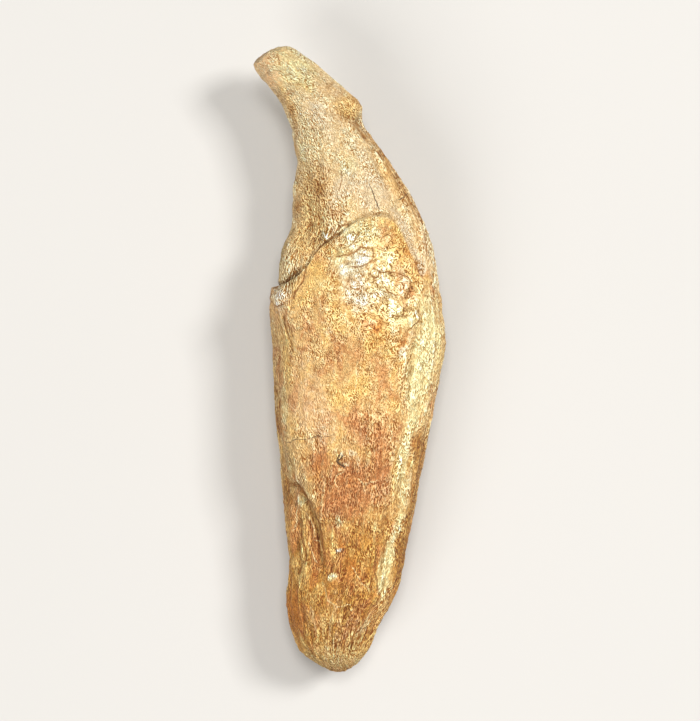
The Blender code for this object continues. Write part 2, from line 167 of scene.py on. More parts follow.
# Lobes of the patch and its neighbourhood: height, x, y, half length, half width, lean.
LOBES = (
    (0.32, 2.4, 17.8, 2.1, 1.6, -42), (0.34, 9, 13.1, 2.4, 1.9, -30), (0.22, 4.7, 15.3, 0.8, 0.8),
    (0.32, 0.2, 20.9, 1.4, 1.2, -20), (0.24, 6.8, 21.2, 1, 0.8, -30), (0.24, -0.9, 15.8, 1.3, 1.1),
    (0.3, 6.1, 13.9, 1.4, 1.1, 20), (0.28, 1.8, 13.8, 1.7, 1.3, 40), (0.28, 5, 10.8, 1.4, 1.1),
    (0.32, 8.1, 9.7, 1.6, 1.2, -40), (0.26, 11.1, 10.7, 1.6, 1, 10), (0.22, 10.3, 17.4, 1.8, 1, 32),
    (0.22, 3.8, 20.3, 1.2, 0.9, -60), (0.28, 8, 17.8, 1.5, 1.1, 20), (0.18, -0.6, 11.4, 1.3, 1.1),
    (0.22, 2.2, 10.2, 1.4, 1, 60), (0.26, 11.4, 7.4, 1.8, 1.2), (0.18, 8.6, 5.6, 1.6, 1.2, -30),
    (0.18, -3.3, 18.6, 1.3, 1, -40), (0.3, -4.4, 22.6, 0.9, 0.55, 38), (0.26, -11.5, 11, 1.7, 1.4),
    (0.2, -9.6, 8, 1.2, 0.8),
    (0.26, -3.2, -38.8, 0.9, 0.5, -55),  # grains stuck low on the root
    (0.2, -1.6, -34.1, 0.5, 0.4, -60),
    (0.3, -10.4, 42.6, 1.2, 0.8),  # bumps on the crown's inner outline
    (0.3, -10.4, 30.8, 1.6, 0.8),
)
ROUGH_REACH = (0.22, 0.62)  # values of its oval between which the patch begins
ROUGH_TWIST = (0.7, 1.8)  # reach and wavelength of the bends in its noise
ROUGH_LOBES = (2.4, 0.16)  # wavelength and height of the unlisted ones
ROUGH_WORMS = ((2.1, 0.24, 0.10), (1.05, 0.12, 0.14))  # wavelength, depth, width
WANDER = ((2.6, 0.42), (0.9, 0.14))  # wavelength and reach of the strays of stains and lines
WANDER_ALONG = 1.5  # how much farther along the tooth than across it
# Shifts that keep the fields of noise apart.
SHIFTS = {
    "across": 11.0, "along": 23.0, "fibres": 3.0, "pitting": 31.0,
    "twist": 41.0, "lobes": 47.0, "worms": 53.0,
}
# What the material reads of the relief for its painted shade and highlight: rounds of blurring, and the
# heights that count as 1.
FINE_BLUR = 3
BROAD_BLUR = (2, 14)
CREST_HEIGHT = 0.10
BROAD_HEIGHT = 0.25
CROWN_EDGE = 0.4  # distance over which the crown's own colour fades at the cement line
LOW_REACH = (-40.0, -14.0)  # y between which the root's darker lower part ends
# Sizes of the wrinkles and loops that only the material draws.
SHORT_WRINKLE = (0.17, 0.17, 0.27)
LONG_WRINKLE = (0.17, 0.17, 0.50)
COARSE_WRINKLE = (0.32, 0.32, 0.42)  # added on busy places
COARSE_FIBRE = (0.34, 0.34, 1.10)
COARSE_SHARE = 1.5
WRINKLE_STEP = (0.08, 0.07, 0.06)
LOOP = ((1.15, 1.15, 1.30), 1.6)  # size and detail
LOOP_LEVELS = 0.075  # half the step between a loop and the next one inside it
LOOP_HEIGHT = (0.0, 0.55, 0.32, 0.57)  # two values of the loops and the heights they become
SWIRL_LENGTH = 1.6  # wavelength of the noise that bends the wrinkles
SWIRL_REACH = (0.7, 0.28)  # how far it bends the wrinkles on plain and on fibrous places

# ---------------------------------------------------------------- stains
# Soft ovals by stain: strength, x, y, half length, half width, and the lean, if any.
UPPER_OVALS = {
    "honey": (  # flanks of the crown, knob and edges: own colour, and a deeper painted shade on the inner flank and edges
        (0.85, -7, 29, 7, 3.8), (0.95, -7.6, 21.6, 5, 2.8, -20), (1, 0.2, 45.2, 3, 2.4, 45),
        (0.7, -10.6, 45, 4, 0.9, 30), (0.8, 7.6, 32.6, 6, 1.5, 30), (0.5, 12.4, 23, 4, 1.4, 18),
        (0.7, 6.4, -44.2, 5, 2.2, -24), (0.35, -9, 48.6, 1, 4, 20), (0.7, 12.2, -14.6, 3, 1.4, -8),
        (0.5, -12.6, 9, 4, 0.9), (0.6, -11.8, -22, 12, 1.2, 2),
    ),
    "peach": (  # pinkish calm places
        (0.75, -5.2, -10.6, 5, 3.6), (0.45, -7.4, -3, 5, 3), (0.6, 3, -13.2, 2.6, 1.8),
        (0.6, 6.4, -22.2, 2.4, 1.4), (0.8, -10.2, 10.6, 1.9, 1.4), (0.5, -12.2, 7.4, 2.4, 0.8),
        (0.35, -6.2, -45.4, 2.6, 1.6), (0.4, -2.6, -42.8, 2.4, 1.4), (0.6, 13.2, 21.8, 4.2, 1.3, 16),
        (0.6, -1.8, 48, 1.4, 1, 40), (0.45, -8.6, -22.8, 3.6, 1, 10),
    ),
    "salmon": (  # the reddish middle of the root
        (0.4, -15.8, 53, 1.6, 1, 30), (0.5, 1.6, 1.6, 3.4, 3), (0.5, 0.4, -11.4, 2, 1.6),
        (0.8, 5.6, -18.8, 4.6, 1.7), (0.8, -6, -17.8, 2.6, 2.2), (0.95, -0.2, -21.4, 4, 5),
        (0.55, 3.6, -12.8, 4.2, 3.4), (0.6, -3.2, -24.4, 2.4, 2), (0.4, 3, -27, 4, 2.4),
        (0.5, -1.4, -27, 3, 2.4), (0.6, -6.8, -31.6, 4.4, 1.2, 12), (0.5, 8, -11.8, 2.4, 1, -8),
        (0.55, 0.6, -39.4, 3.4, 3.4), (0.65, -9.6, -46.4, 3.6, 1.6, 10), (0.4, -2.4, 26.4, 1.6, 2.2, -30),
    ),
    "gold": (  # yellow-brown patches, and both ends, where it is partly painted light
        (0.75, -5.6, 15.4, 3.4, 2.2, 16), (0.4, -3, 12.6, 2.8, 2), (0.55, -7.4, 11.2, 2.2, 1.8),
        (0.45, -2, 8, 1.8, 1.6), (0.85, 8.6, 19.2, 3.4, 1.8, 30), (0.55, 11.4, 13, 3.4, 1.2, 10),
        (0.9, 4.2, 3.4, 3.2, 1.7, -20), (0.95, 1.4, -5, 2, 2.6, 60), (0.7, -2.2, -7.6, 1.8, 1.5),
        (0.7, 8, -7.8, 1.8, 1.5), (0.45, -7.2, -17, 2.2, 1.2), (1, -2.6, -33, 3.8, 0.9, 4),
        (0.6, -0.6, -30, 2, 1), (0.85, -7.8, -37.4, 2.8, 1, 6), (0.55, -10, -1, 5, 1.2),
        (1.2, -2, -55.6, 4, 8), (0.7, 1.4, -52.4, 2.4, 1.8, -24), (0.95, 6.4, -37.8, 5, 1.7, -10),
        (0.4, -4.4, -46, 3.4, 2.4), (0.45, -12, 53.8, 2.6, 1.6, 60), (0.45, -8.8, 51.6, 4.6, 2.8, 50),
        (0.6, -12.4, 48.8, 2.2, 0.9, 30), (0.5, 0.2, 44, 2, 1.3, 45),
    ),
    "olive": (  # shaded inner edge
        (0.9, -11.9, 18.6, 5, 0.9, -12), (0.7, -9.8, 14.6, 2.4, 1.3, -34),
        (0.6, -10.2, -17.4, 5.4, 0.9, 4), (0.6, -10.4, 35.4, 2.4, 0.9), (0.55, -6.6, 40.8, 1.8, 0.6, 60),
    ),
    "brown": (  # own brown, and painted shade on the dark inner flank of the crown, in furrows and along the edges
        (0.5, -4.8, 32.6, 3, 1.5, 8), (0.6, -5.4, 29.8, 1.6, 1, 20), (0.25, -8, 31.6, 4.2, 2),
        (0.5, -2.6, 26.2, 1.2, 2.2, -30), (0.7, -9.8, 27, 2.6, 0.8), (0.3, -7.4, 21.6, 4.2, 1.2, -20),
        (0.55, -9.2, 15.2, 2.8, 1.1, -34), (0.45, -6, 41.4, 1.6, 0.6, 60), (0.55, 1, 46, 1.8, 1.2, 45),
        (0.4, -3.4, 49, 1.2, 1.2, 45), (0.3, -9, 49.6, 0.8, 3.6, 12), (0.5, -12.6, 46.8, 2.4, 0.7, 34),
        (0.3, -12.8, 3, 8, 0.6, 2), (0.9, -12.6, -10, 8, 0.9, 4), (0.45, -9.5, -4.6, 1.2, 0.9),
        (0.85, -11.4, -24, 6, 0.9, 2), (0.3, -6.4, -31, 5.5, 1.6, 16), (1, -10.4, -45.6, 4.2, 1.2, 10),
        (0.9, 12.2, -15.4, 2.6, 1, -8), (0.75, 12.4, -20, 6, 0.7, -9), (0.9, 10.3, -31.6, 6.5, 0.9, -9),
        (0.45, 7.8, -43, 3.6, 0.8, -20), (0.5, 0.6, -33.6, 4.4, 1.4), (0.45, -3.6, -37.6, 2, 1.8),
        (0.55, 8.6, -10.8, 1.6, 0.7), (0.3, 4.2, -11, 1.8, 1.6), (0.45, 11.2, -14.2, 1.8, 1, -8),
        (0.6, -9.9, 35, 2.6, 0.7), (0.6, -13.6, 11.4, 1.6, 0.7), (0.45, -8.8, -36.2, 2.4, 0.9, 6),
        (0.45, 8.2, -34.2, 2.6, 0.8, -9), (0.6, 9.3, -36.4, 4, 0.9, -14), (0.4, 1.4, 8.8, 0.9, 1.2),
        (0.5, 0.1, 14, 0.7, 0.7), (0.55, 5.2, 12.2, 0.9, 0.8), (0.5, 10.6, 12.6, 1.2, 0.9),
        (0.6, 9.6, 5, 1.8, 0.8, -20),
    ),
    "pale": (  # knobbly patch and bright streaks, and the outer flank, partly painted light where it faces the lamps
        (0.85, -9.6, 52, 4.4, 3.2, 50), (0.5, -8.4, 37.4, 2.4, 1), (1, -0.2, 33.4, 2.8, 1.5, -20),
        (0.4, -9.6, 26, 0.8, 0.5), (0.6, -4.2, 22.2, 1, 0.7, 38), (1.1, 2, 22.4, 2.4, 3),
        (0.4, -0.8, 7.4, 1.8, 2.2), (0.35, -5, 12.6, 2.6, 2.4), (0.65, -1.6, 18.2, 3, 1.5, -10),
        (0.5, 6.6, 18.4, 2, 1.6), (1.05, 13.8, 4.4, 7, 2.6, -2), (0.65, 8.6, 7.4, 2.4, 1.9, 30),
        (0.85, 12, -5.2, 6, 2.5, -8), (0.7, 9.6, -18.4, 3.6, 1.2, -12), (0.6, 6.6, -36.8, 3.4, 1.5, -8),
        (0.65, 6.2, -40.4, 2.4, 1.1, -14), (0.6, 2.6, -48, 3, 0.6, -34), (0.45, -10.6, -8.6, 5, 0.7, 2),
        (0.9, -1.8, -28.6, 1.2, 0.9), (1.2, -9, -25.2, 1, 0.9), (1.5, -3.1, -38.8, 1, 0.55, -55),
        (0.45, 4.4, 16, 5.4, 4.8), (0.45, 6.4, 10.6, 4.4, 4.6),
    ),
    "rust": (  # deepest orange spots
        (0.85, 12.8, 15.9, 1, 2.4, -30), (0.7, 10.4, 19, 1.8, 0.9, 30), (0.4, 8, 20.6, 1.8, 1, 30),
        (0.75, 5, 6, 1.8, 0.7, -40), (0.4, 4.6, 3.4, 2.6, 1.5, -24), (0.65, 9.4, 3, 1.6, 0.7, -30),
        (0.6, -1.6, -33, 2.6, 0.6), (0.35, 0, -37, 1.6, 1.2), (0.4, 0.2, -21.6, 1.6, 2),
        (0.45, 11.6, -14.8, 1.2, 0.8, -10), (1.15, -10, -45.6, 4.2, 1.6, 10), (0.45, -5.4, -20, 3, 1.6),
        (0.45, 1.6, -38, 4, 2.6), (0.45, -6.6, -39, 2.4, 1), (0.55, -12.9, -9, 6, 0.6, 4),
        (0.5, -1.6, -56, 1.7, 6),
    ),
    "enamel": (  # smooth pale crown
        (0.55, -3.6, 41.6, 4.6, 2.6, 30), (0.5, -6.2, 44.6, 2.4, 2, 30), (0.5, 2.6, 36.6, 3.4, 1.4, 30),
        (0.85, -1.6, 30.2, 2.8, 1.6, -30), (1, 4.8, 29.4, 2.6, 2.6, 28), (0.55, 2.2, 31, 5, 3.6, 28),
        (0.8, -11, 11.4, 2.4, 1.6),
    ),
    "blush": (  # wear facet and root's end: their pinkish colour, and painted light on these slopes that turn from the lamps
        (1.45, -15.2, 51.8, 3.4, 2, 30), (0.7, -10.6, 52.6, 3.6, 2.4, 50), (0.4, -2, -54.6, 3.4, 7),
        (0.3, -1.5, -48, 4.6, 5), (0.25, -5.2, 26, 4, 2),
    ),
    "white": (  # bleached spots and grains, and painted highlights on the chip in the root
        (0.52, 0.2, 13.6, 4.8, 3.4), (0.5, -0.2, 15.8, 1.4, 1.8), (0.55, 2.4, 10.6, 2.4, 2.2),
        (0.45, 1.6, 17.6, 2.6, 2), (0.38, 1.4, 21.8, 2.2, 2.6, -30), (0.6, 2.5, 17.8, 1.2, 0.8, -42),
        (0.5, 5.6, 15, 2, 1.4), (0.45, 8.8, 15.6, 1.8, 1, -30), (0.55, 6.8, 11.4, 1.6, 1, 60),
        (0.2, 8.8, 8, 1.8, 1.2), (0.35, 5.4, 30, 1.6, 1.4), (0.85, 9.4, 1.2, 1.4, 0.8, -45),
        (1, -3, -38.7, 0.5, 0.24, -55), (1.1, -1.8, -34.1, 0.5, 0.26, -75), (0.5, 1.4, -2.6, 1, 0.4),
        (0.3, -3.4, 5, 1.2, 1), (0.2, -4.6, 21.9, 0.7, 0.5, 38), (0.7, 0.6, -16.4, 0.5, 1, -20),
        # Painted highlights on the rim of the chip in the root.
        (1.6, -1.35, -16.8, 0.4, 0.25), (1.3, -0.6, -18.6, 0.22, 0.6, -20),
    ),
    "threads": (  # more fibrous than its neighbourhood
        (0.5, 3, 40, 4, 1.2, 35), (0.5, -10.6, 18, 5, 1.6, -10), (0.6, -9.6, 3, 8, 2.6),
        (0.8, -9.6, 14.6, 3, 1.5, -34),
    ),
    "calm": (  # weaker flecks
        (0.6, -15.4, 51.8, 2.6, 1.6, 30), (0.6, 2.4, 32.6, 6, 3, 28), (0.8, -1.6, 30.2, 2.6, 1.6, -30),
        (0.7, 4.8, 29.4, 2.6, 2.6, 28), (0.5, 2, -34, 6, 4), (0.6, 0, -20, 8, 5),
        (1.1, 14.2, 3, 9, 3, -2), (1, 12, -7.6, 6, 2.4, -8), (0.9, -5.4, 13.6, 5, 3, 10),
        (0.7, 2, -0.4, 5, 5), (0.75, -4.6, -8.6, 6, 4.6), (1, -9.8, -44, 4.6, 1.4, 10),
        (1, 9.6, 24, 3.4, 0.9, 26), (1.1, 6.4, -37.6, 5, 1.6, -10),
    ),
    "busy": (  # stronger, coarser flecks
        (1, -6.6, 29.6, 7.4, 3.6), (0.85, -4.6, 23.4, 5, 4.2, -30), (0.6, -6.4, 41, 5, 3.6, 20),
        (0.3, 2, 35, 6, 3, 26), (0.8, -10.6, 17.6, 4.6, 1.6, -14), (0.8, 0, 44.4, 2.8, 2.2, 45),
        (0.5, -10, 49, 2, 6, 30), (0.45, -12.6, 52.6, 3, 4, 30), (1, -12.6, -9, 10, 1.4, 4),
        (0.6, -9.8, 44, 3.6, 1.6, 30), (0.8, -2, -50, 7, 8), (0.8, -10.6, 10.4, 2.6, 1.8),
        (0.8, -9.6, 14.6, 3, 1.5, -34), (0.6, -11, 1, 8, 1.6, 2), (0.7, -7.2, -29.6, 7, 2.4, 14),
        (0.6, 4.8, 12.8, 7, 5.6),
    ),
}
# Soft streaks by stain: strength, half width, then x, y of each point.
UPPER_STREAKS = {
    "pale": ((0.7, 0.7, 11.6, -10, 10.4, -13.8, 9.6, -18.6, 9.9, -25, 8.6, -31, 7, -35.6),),
    "brown": (
        (0.6, 1.2, 3.8, 41.2, 7, 35.2, 10.4, 29.2, 13, 25), (0.5, 0.7, -10.4, 45, -9.6, 41, -10.2, 37),
        (0.55, 0.6, -1.6, 43.6, 1.6, 41.6, 3, 40.2),
        (0.45, 0.4, -6.9, -24.4, -5.9, -26.8, -5, -29.2, -4.6, -33.4),
        (0.6, 0.5, -5.4, 19.6, -3, 21, -0.6, 23.2),
        (0.8, 0.35, -12.1, -3, -12.4, -7, -11.9, -11, -12.1, -15),
        (0.7, 0.3, -11.3, -5.6, -11.2, -9.4, -11, -13),
    ),
    "gold": (
        (0.75, 0.7, 7.6, 24, 9.2, 20.8, 11, 18.4, 12.8, 15.8, 14.4, 14),
        (0.8, 0.6, 5.8, 6.6, 5, 4.8, 3.2, 2.6), (0.7, 0.5, -6.4, -27.2, -5.5, -31.5, -5.1, -36.2),
        (0.5, 0.5, -14.8, 53.6, -12.6, 52, -10.6, 50, -7.2, 48),
        (0.9, 0.24, -9, -48.6, -8.1, -50.9, -6.8, -52.9),  # strokes on the root's end
        (0.8, 0.2, -5.9, -52.2, -5, -54), (0.8, 0.2, -5.6, -48.2, -5.7, -50.4),
        (0.9, 0.26, -0.2, -50, 0.9, -48.4, 2.3, -47), (0.5, 0.22, -0.9, -46.4, 0.2, -44.8, 1.1, -43.9),
        (0.8, 0.24, 0.9, -51.8, 1.8, -50.4, 2.7, -49.1),
    ),
    "enamel": ((1, 0.85, 8.3, 26.5, 9.6, 23.8, 10.7, 21.2, 12.4, 18, 13.4, 15.8),),
    "threads": ((0.9, 2, 2.8, 42, 7.2, 35.6, 11.2, 29.2, 14.2, 21.6, 15.8, 14),),
}
UNDER_OVALS = {
    "honey": ((0.8, -6, 27, 8, 3.6), (0.5, -9, -20, 9, 2, 4)),
    "peach": ((0.6, -4, -10, 6, 4), (0.5, 6, -24, 4, 2.6)),
    "rust": ((0.6, 6, 18, 3, 1.2, 30), (0.45, -3, -12, 5, 1.2, 6)),
    "brown": (
        (0.8, -6, 27, 6.5, 2.8), (0.55, -10.8, 2, 9, 1.6), (0.65, -8.4, -34, 8, 1.8, -12),
        (0.5, 12, -16, 9, 1.6, -8),
    ),
    "gold": ((0.6, 2, 15, 4, 5), (0.45, -4, -4, 7, 3), (0.5, 5.4, -34, 6, 2.4, -6)),
    "salmon": ((0.55, 3, -2, 9, 5), (0.7, -1, -20, 9, 5), (0.4, -2, -42, 5, 4)),
    "pale": ((0.8, 13.4, 4, 9, 2.2), (0.7, 8.8, -24, 9, 1.6, -10), (0.5, -8.6, -14, 8, 1.4, 4)),
    "olive": ((0.7, -10.6, 18.4, 5, 1.4, -12), (0.5, -3, -30, 7, 1.2, 10)),
    "blush": ((0.8, -14, 51, 4, 2, 30), (0.8, -2, -54, 4, 7)),
    "white": ((0.55, 4, 10, 4.4, 4), (0.4, -2, 4, 2.4, 2)),
    "enamel": ((0.9, 2.6, 31, 7.5, 5, 26), (0.4, -6, 44, 5, 4, 40)),
    "threads": ((0.5, 0, 6, 8, 3),),
    "calm": ((0.8, 0, 34, 14, 5, 24), (0.6, 2, -6, 10, 5)),
    "busy": ((0.8, -6, 27, 6.5, 2.8), (0.6, -6.4, -36, 7, 2.4, -14)),
}
STAINS = tuple(UPPER_OVALS)

# Thin lines by tone: groove depth, half width, then x, y of each point.
LINES = {
    "pale": (
        (-0.03, 0.07, -10.4, -14.35, -7.5, -13.85, -5.8, -13.35, -2.6, -12.8),
        (-0.06, 0.13, -1.2, -16.5, -1.5, -17.2), (-0.05, 0.11, -1.7, -18, -1.1, -18.5, 0, -18.7),
        (-0.03, 0.09, -1.4, -19.8, -2.3, -20.2, -2.6, -21.2, -2.2, -22.2, -1.5, -22.1),
        (-0.04, 0.12, 1.8, -21.2, 2.7, -21.7, 4.7, -21.5),
        (-0.05, 0.09, -4.75, -40.1, -4.3, -41.6, -3.6, -43, -2.2, -44, -0.1, -43.6),
        (-0.04, 0.08, 0.7, -37, 2.1, -39.2, 3.4, -40.7),
        (-0.05, 0.1, -8.2, -27.4, -7.2, -28.6, -6.6, -30.4, -6.5, -31.6),
        (-0.05, 0.1, -7.6, -32.6, -6.7, -34.9, -5.9, -36),
        (-0.05, 0.09, -6.4, -32.4, -5.4, -32.8, -5.2, -34), (-0.05, 0.11, -9.8, -26.4, -9.9, -30.4),
        (-0.03, 0.09, 1.3, -0.4, 1.1, -5.2), (-0.03, 0.1, 2.9, 38.4, 3.5, 35.4, 4.6, 33),
        (-0.03, 0.09, -8.8, 15.6, -10.2, 14.6),
    ),
    "brown": (
        (0.14, 0.12, -2, 18.3, 0.9, 19, 2, 19.9, 3.8, 19.5, 4.1, 18.5),
        (0.16, 0.12, 4.1, 18.5, 3.8, 17.4, 3, 16.6, 1.9, 16.1, 0.8, 16.5),
        (0.14, 0.11, 5.6, 15.6, 7, 15.5, 9, 15.5, 10, 14.5, 10.7, 13.1),
        (0.18, 0.13, 10.7, 13.1, 10.5, 11.9, 10.1, 10.8), (0.12, 0.1, 8.2, 11.5, 7, 12, 6.4, 13.1),
        (0.12, 0.09, 3.9, 15.3, 4.5, 16.1, 5.3, 15.8, 5.5, 15, 4.7, 14.5, 3.9, 15.3),
        (0.12, 0.1, -0.9, 19.9, 0.9, 20.7, 1.5, 22, 0.7, 22.5),
        (0.1, 0.09, 6.1, 21.9, 6.7, 22.2, 7.5, 21.4, 7, 20.6), (0.12, 0.1, 3.8, 11.9, 5, 12.1, 5.6, 11.5),
        (0.1, 0.09, 5.8, 10.5, 6.5, 10.8, 6.9, 10.2), (0.1, 0.09, 7.6, 7.9, 10.2, 7.7),
        (0.12, 0.1, 12.2, 9.1, 12.2, 7.3, 11, 5.6, 9.9, 4.9), (0.08, 0.08, 9.5, 18.1, 10.2, 18.3),
        (0.1, 0.09, 8.4, 9.9, 9.3, 9.3, 9.9, 9.9),
        (0.12, 0.12, -9.5, 15.5, -10.9, 14.6, -11.7, 13.5, -12.7, 11.7, -12.7, 10.3),
        (0.1, 0.1, -12.7, 10.3, -11.7, 9.3, -10.1, 9.7),
        (0.2, 0.16, -6.9, 17.3, -7.3, 15.7, -7.9, 13.9, -9.1, 12.4, -9.2, 11),
        (0.2, 0.12, -10.8, 7.6, -10.4, 5.6, -9.7, 3.2, -9.4, 1.4), (0.12, 0.09, -10, 6.4, -9.3, 4),
        (0.06, 0.08, -1.2, 33.6, -1, 31.6, -1.9, 30.4), (0.08, 0.08, -4, 1, -2.6, 1.9, -1.4, 1.2),
        (0.08, 0.08, 11, 0.6, 9.4, -3.6, 8.6, -8), (0.06, 0.12, 4.9, -34, 4.8, -38, 5.5, -42),
        # Painted shadow under the cement ledge on the crown's inner side.
        (0.12, 0.16, -0.6, 24, -2.2, 22.9, -4, 21.4, -4.9, 20.3, -5.9, 19.1, -6.9, 17.3),
        (0.14, 0.18, -10.4, -22.2, -9.2, -23, -8.1, -24.6, -6.8, -25.6, -6.2, -27.7),
        (0.1, 0.14, -6.2, -27.7, -5.2, -28.8, -4.7, -30.4, -4.7, -33.4),
        (0.16, 0.14, -9.2, -28.6, -8.6, -31.5, -8, -34.2, -8.1, -35.6, -9.2, -37.8),
        (0.08, 0.12, -8.1, -45.2, -8.2, -47, -7.9, -48.2),  # furrows on the root's end
        (0.08, 0.12, -7.6, -50.9, -6.5, -53.1), (0.08, 0.11, -4.3, -46.1, -3.8, -47.3, -3.6, -48.6),
        (0.08, 0.12, -0.5, -47, 0.9, -45.5, 1.6, -44.1), (0.08, 0.12, 0.2, -50.6, 1.4, -49.3, 2, -48.6),
    ),
    "dark": (
        (0.1, 0.08, 3.7, 31, 4.5, 28.7, 5.3, 26.7),  # scratch in the enamel
        (0.14, 0.1, -5.6, 22.1, -4.3, 20.9),  # chip at the cement line
        (0.08, 0.08, 9.2, 28.8, 10.4, 29.5),
        (0.06, 0.05, -10.2, -14.6, -7.5, -14.1, -5.8, -13.6, -2.6, -13.1),
        (0.14, 0.15, -1.7, -16.7, -2.2, -17.7, -1.8, -18.4, -0.9, -19),  # chip in the root
        (0.1, 0.11, -2.2, -17.8, -1.4, -17.5, -1.1, -17), (0.1, 0.1, -2.1, -33.8, -1.9, -34.6),
        (0.1, 0.1, -1.1, -33.6, -1, -34.2),
    ),
}
LINE_STRENGTH = {"pale": 0.7, "brown": 0.85, "dark": 0.9}
MESH_LINE_WIDTH = 0.25  # half width of the narrowest groove that the mesh can hold
LINE_REACH_NEAR = 0.45  # distance over which a line's own neighbourhood fades
LINE_FAR = 9.0  # half widths beyond which the distance to a line is not told apart

# ---------------------------------------------------------------- colours, as sRGB
STAINS_BY_DEPTH = (
    "honey", "peach", "salmon", "gold", "blush", "olive", "brown", "pale", "rust", "enamel", "white",
)
COLOURS = {
    "tan": (231, 185, 117), "cream": (243, 210, 152), "umber": (204, 140, 58),
    "brown": (176, 116, 46), "gold": (241, 192, 108), "rust": (204, 126, 46),
    "salmon": (203, 129, 71), "pale": (246, 227, 162), "olive": (186, 156, 98),
    "white": (230, 212, 170), "honey": (240, 189, 113), "peach": (232, 188, 134),
    "enamel": (236, 208, 163), "blush": (255, 203, 144), "shade": (172, 138, 84),
    "line_dark": (74, 56, 40), "line_brown": (146, 94, 42), "line_pale": (252, 228, 168),
    "floor": (200, 197, 192),
}
FLECK_AND_HIGHLIGHT_GAIN = (1.22, 1.52, 2.00, 1.0)  # how much brighter a fleck, or a painted highlight on a crest, is than what it lies on
STAIN_SHARE = 0.9  # of the colour under it that a full stain hides
STAIN_EDGE = 1.4  # how far the speckle breaks up a stain's edge
ROUGH_EDGE = 1.8  # the same for the rough patch
# Tones in a row: name, value where it begins, value where it is full, strength.
CLOUD_TONES = (("salmon", 0.49, 0.38, 1.0), ("gold", 0.52, 0.62, 1.0))
CLOUD_SHARE = (0.6, 0.15)  # on the root and on the crown
MOTTLE_TONES = (("brown", 0.47, 0.34, 1.0),)
MOTTLE_SHARE = (0.15, 0.75)  # on plain and on busy places
LOOP_TONES = (("line_brown", 0.4, 0.05, 0.65), ("white", 0.5, 1.0, 0.10))
# Painted shade in the hollows of the relief and painted highlight on its crests.
RELIEF_SHADE_AND_HIGHLIGHT = (
    ("crest", -0.2, -0.9, 0.4), ("crest", 0.15, 0.8, 0.5),
    ("broad", -0.15, -0.9, 0.55), ("broad", 0.2, 1.0, 0.5),
)
CREST_IN_SPECKLE = 0.04  # how much the relief and the patches shift the fine height
PATCHES_IN_SPECKLE = 0.08
GROOVE_SPAN = (0.52, 0.375)  # fine heights between which grooves and flecks begin, partly painted shade and highlight
FLECK_SPAN = (0.49, 0.65)
# Noise: sizes, detail, roughness and distortion.
PATCHES = ((1.6, 1.6, 1.6), 3.0, 0.65, 0.6)
STREAKS = ((0.9, 0.9, 4.0), 3.0, 0.65, 0.5)
CLOUDS = ((3.2, 3.2, 6.0), 3.0, 0.6, 0.6)
LIVELY = ((2.5, 2.5, 3.5), 1.0)
# Smooth steps: the two values read and, where they aren't 0 and 1, what these become.
EDGE_STEP = (0.08, 0.92)
FADE_STEP = (0.0, 0.25)
LIVELY_STEP = (0.38, 0.62, 0.45, 1.15)
CALM_STEP = (0.1, 1.0, 1.0, 0.6)
WORN_LINE_STEP = (0.34, 0.5, 0.35, 1.0)
CREST_LINE_STEP = (0.42, 0.54, 0.15, 1.2)
LINE_WIDTH_STEP = (1.5, 0.6)
LINE_NEAR_STEP = (0.3, 0.7, 0.0)  # and last the tone's own strength
ENAMEL_STEP = (0.1, 0.9)
BUSY_GAIN = 1.4
WHITE_SMOOTHS = (-0.7, 0.8)  # how the white stain weakens the rough patch
ROUGHNESS = (0.62, 0.46)  # of bare cement and of enamel
ROUGHNESS_GAIN = 0.22  # how much rougher the fine height makes them
SPECULAR = 0.4
BUMP_DISTANCE = 0.0005


def smooth_curve(at, knots, values):
    """Values at some distances, on a curve that passes every knot with no corner."""
    knots = np.asarray(knots, float)
    values = np.asarray(values, float)
    slopes = np.gradient(values, knots, axis=0)
    at = np.asarray(at, float)
    left = np.clip(np.searchsorted(knots, at, side="right") - 1, 0, len(knots) - 2)
    span = knots[left + 1] - knots[left]
    t = (at - knots[left]) / span
    if values.ndim > 1:
        t = t[..., None]
        span = span[..., None]
    return (
        (2 * t**3 - 3 * t**2 + 1) * values[left]
        + (t**3 - 2 * t**2 + t) * span * slopes[left]
        + (3 * t**2 - 2 * t**3) * values[left + 1]
        + (t**3 - t**2) * span * slopes[left + 1]
    )


def ease(value, start, end):
    """0 before start, 1 after end, and a smooth rise between them."""
    t = np.clip((value - start) / (end - start), 0.0, 1.0)
    return t * t * (3 - 2 * t)


def closing(distance, length, power):
    """Share of the full width at a distance from an end that closes over a length."""
    t = np.clip(distance / length, 0.0, 1.0)
    return (1 - (1 - t) ** power) ** (1 / power)


def signed_power(value, power):
    return np.sign(value) * np.abs(value) ** power


def spine():
    """The sections as rows of numbers, and each one's distance along the tooth."""
    rows = np.array(SECTIONS)
    middles = (rows[:, 0:2] + rows[:, 2:4]) / 2
    steps = np.linalg.norm(np.diff(middles, axis=0), axis=1)
    return rows, np.concatenate([[0.0], np.cumsum(steps)])


def across_of(angle):
    """Place across the tooth, -1 to 1, and height share, -1 to 1, at a ring's angle."""
    upper = np.sin(angle) >= 0
    power = 2 / np.where(upper, UPPER_POWER, UNDER_POWER)
    return signed_power(np.cos(angle), power), signed_power(np.sin(angle), power)


def by_face(angle, curve, upper, under):
    """Values on a curve across the tooth, from the row for each angle's own face."""
    across, _ = across_of(angle)
    upper, under = (curve(across, LINE_ACROSS, row) for row in (upper, under))
    return np.where(np.sin(angle) >= 0, upper, under)


def line_distance(angle):
    """Distance along the tooth of the cement line at each angle of a ring."""
    rows, along = spine()
    middle_y = (rows[:, 1] + rows[:, 3]) / 2
    return np.interp(by_face(angle, smooth_curve, LINE_UPPER, LINE_UNDER), middle_y, along)


def spread(low, high, count, weight_at):
    """Places from low to high, closer together where the weight is larger."""
    fine = np.linspace(low, high, FINE_STEPS)
    walked = np.concatenate([[0.0], np.cumsum(weight_at((fine[1:] + fine[:-1]) / 2))])
    return np.interp(np.linspace(0.0, walked[-1], count), walked, fine)


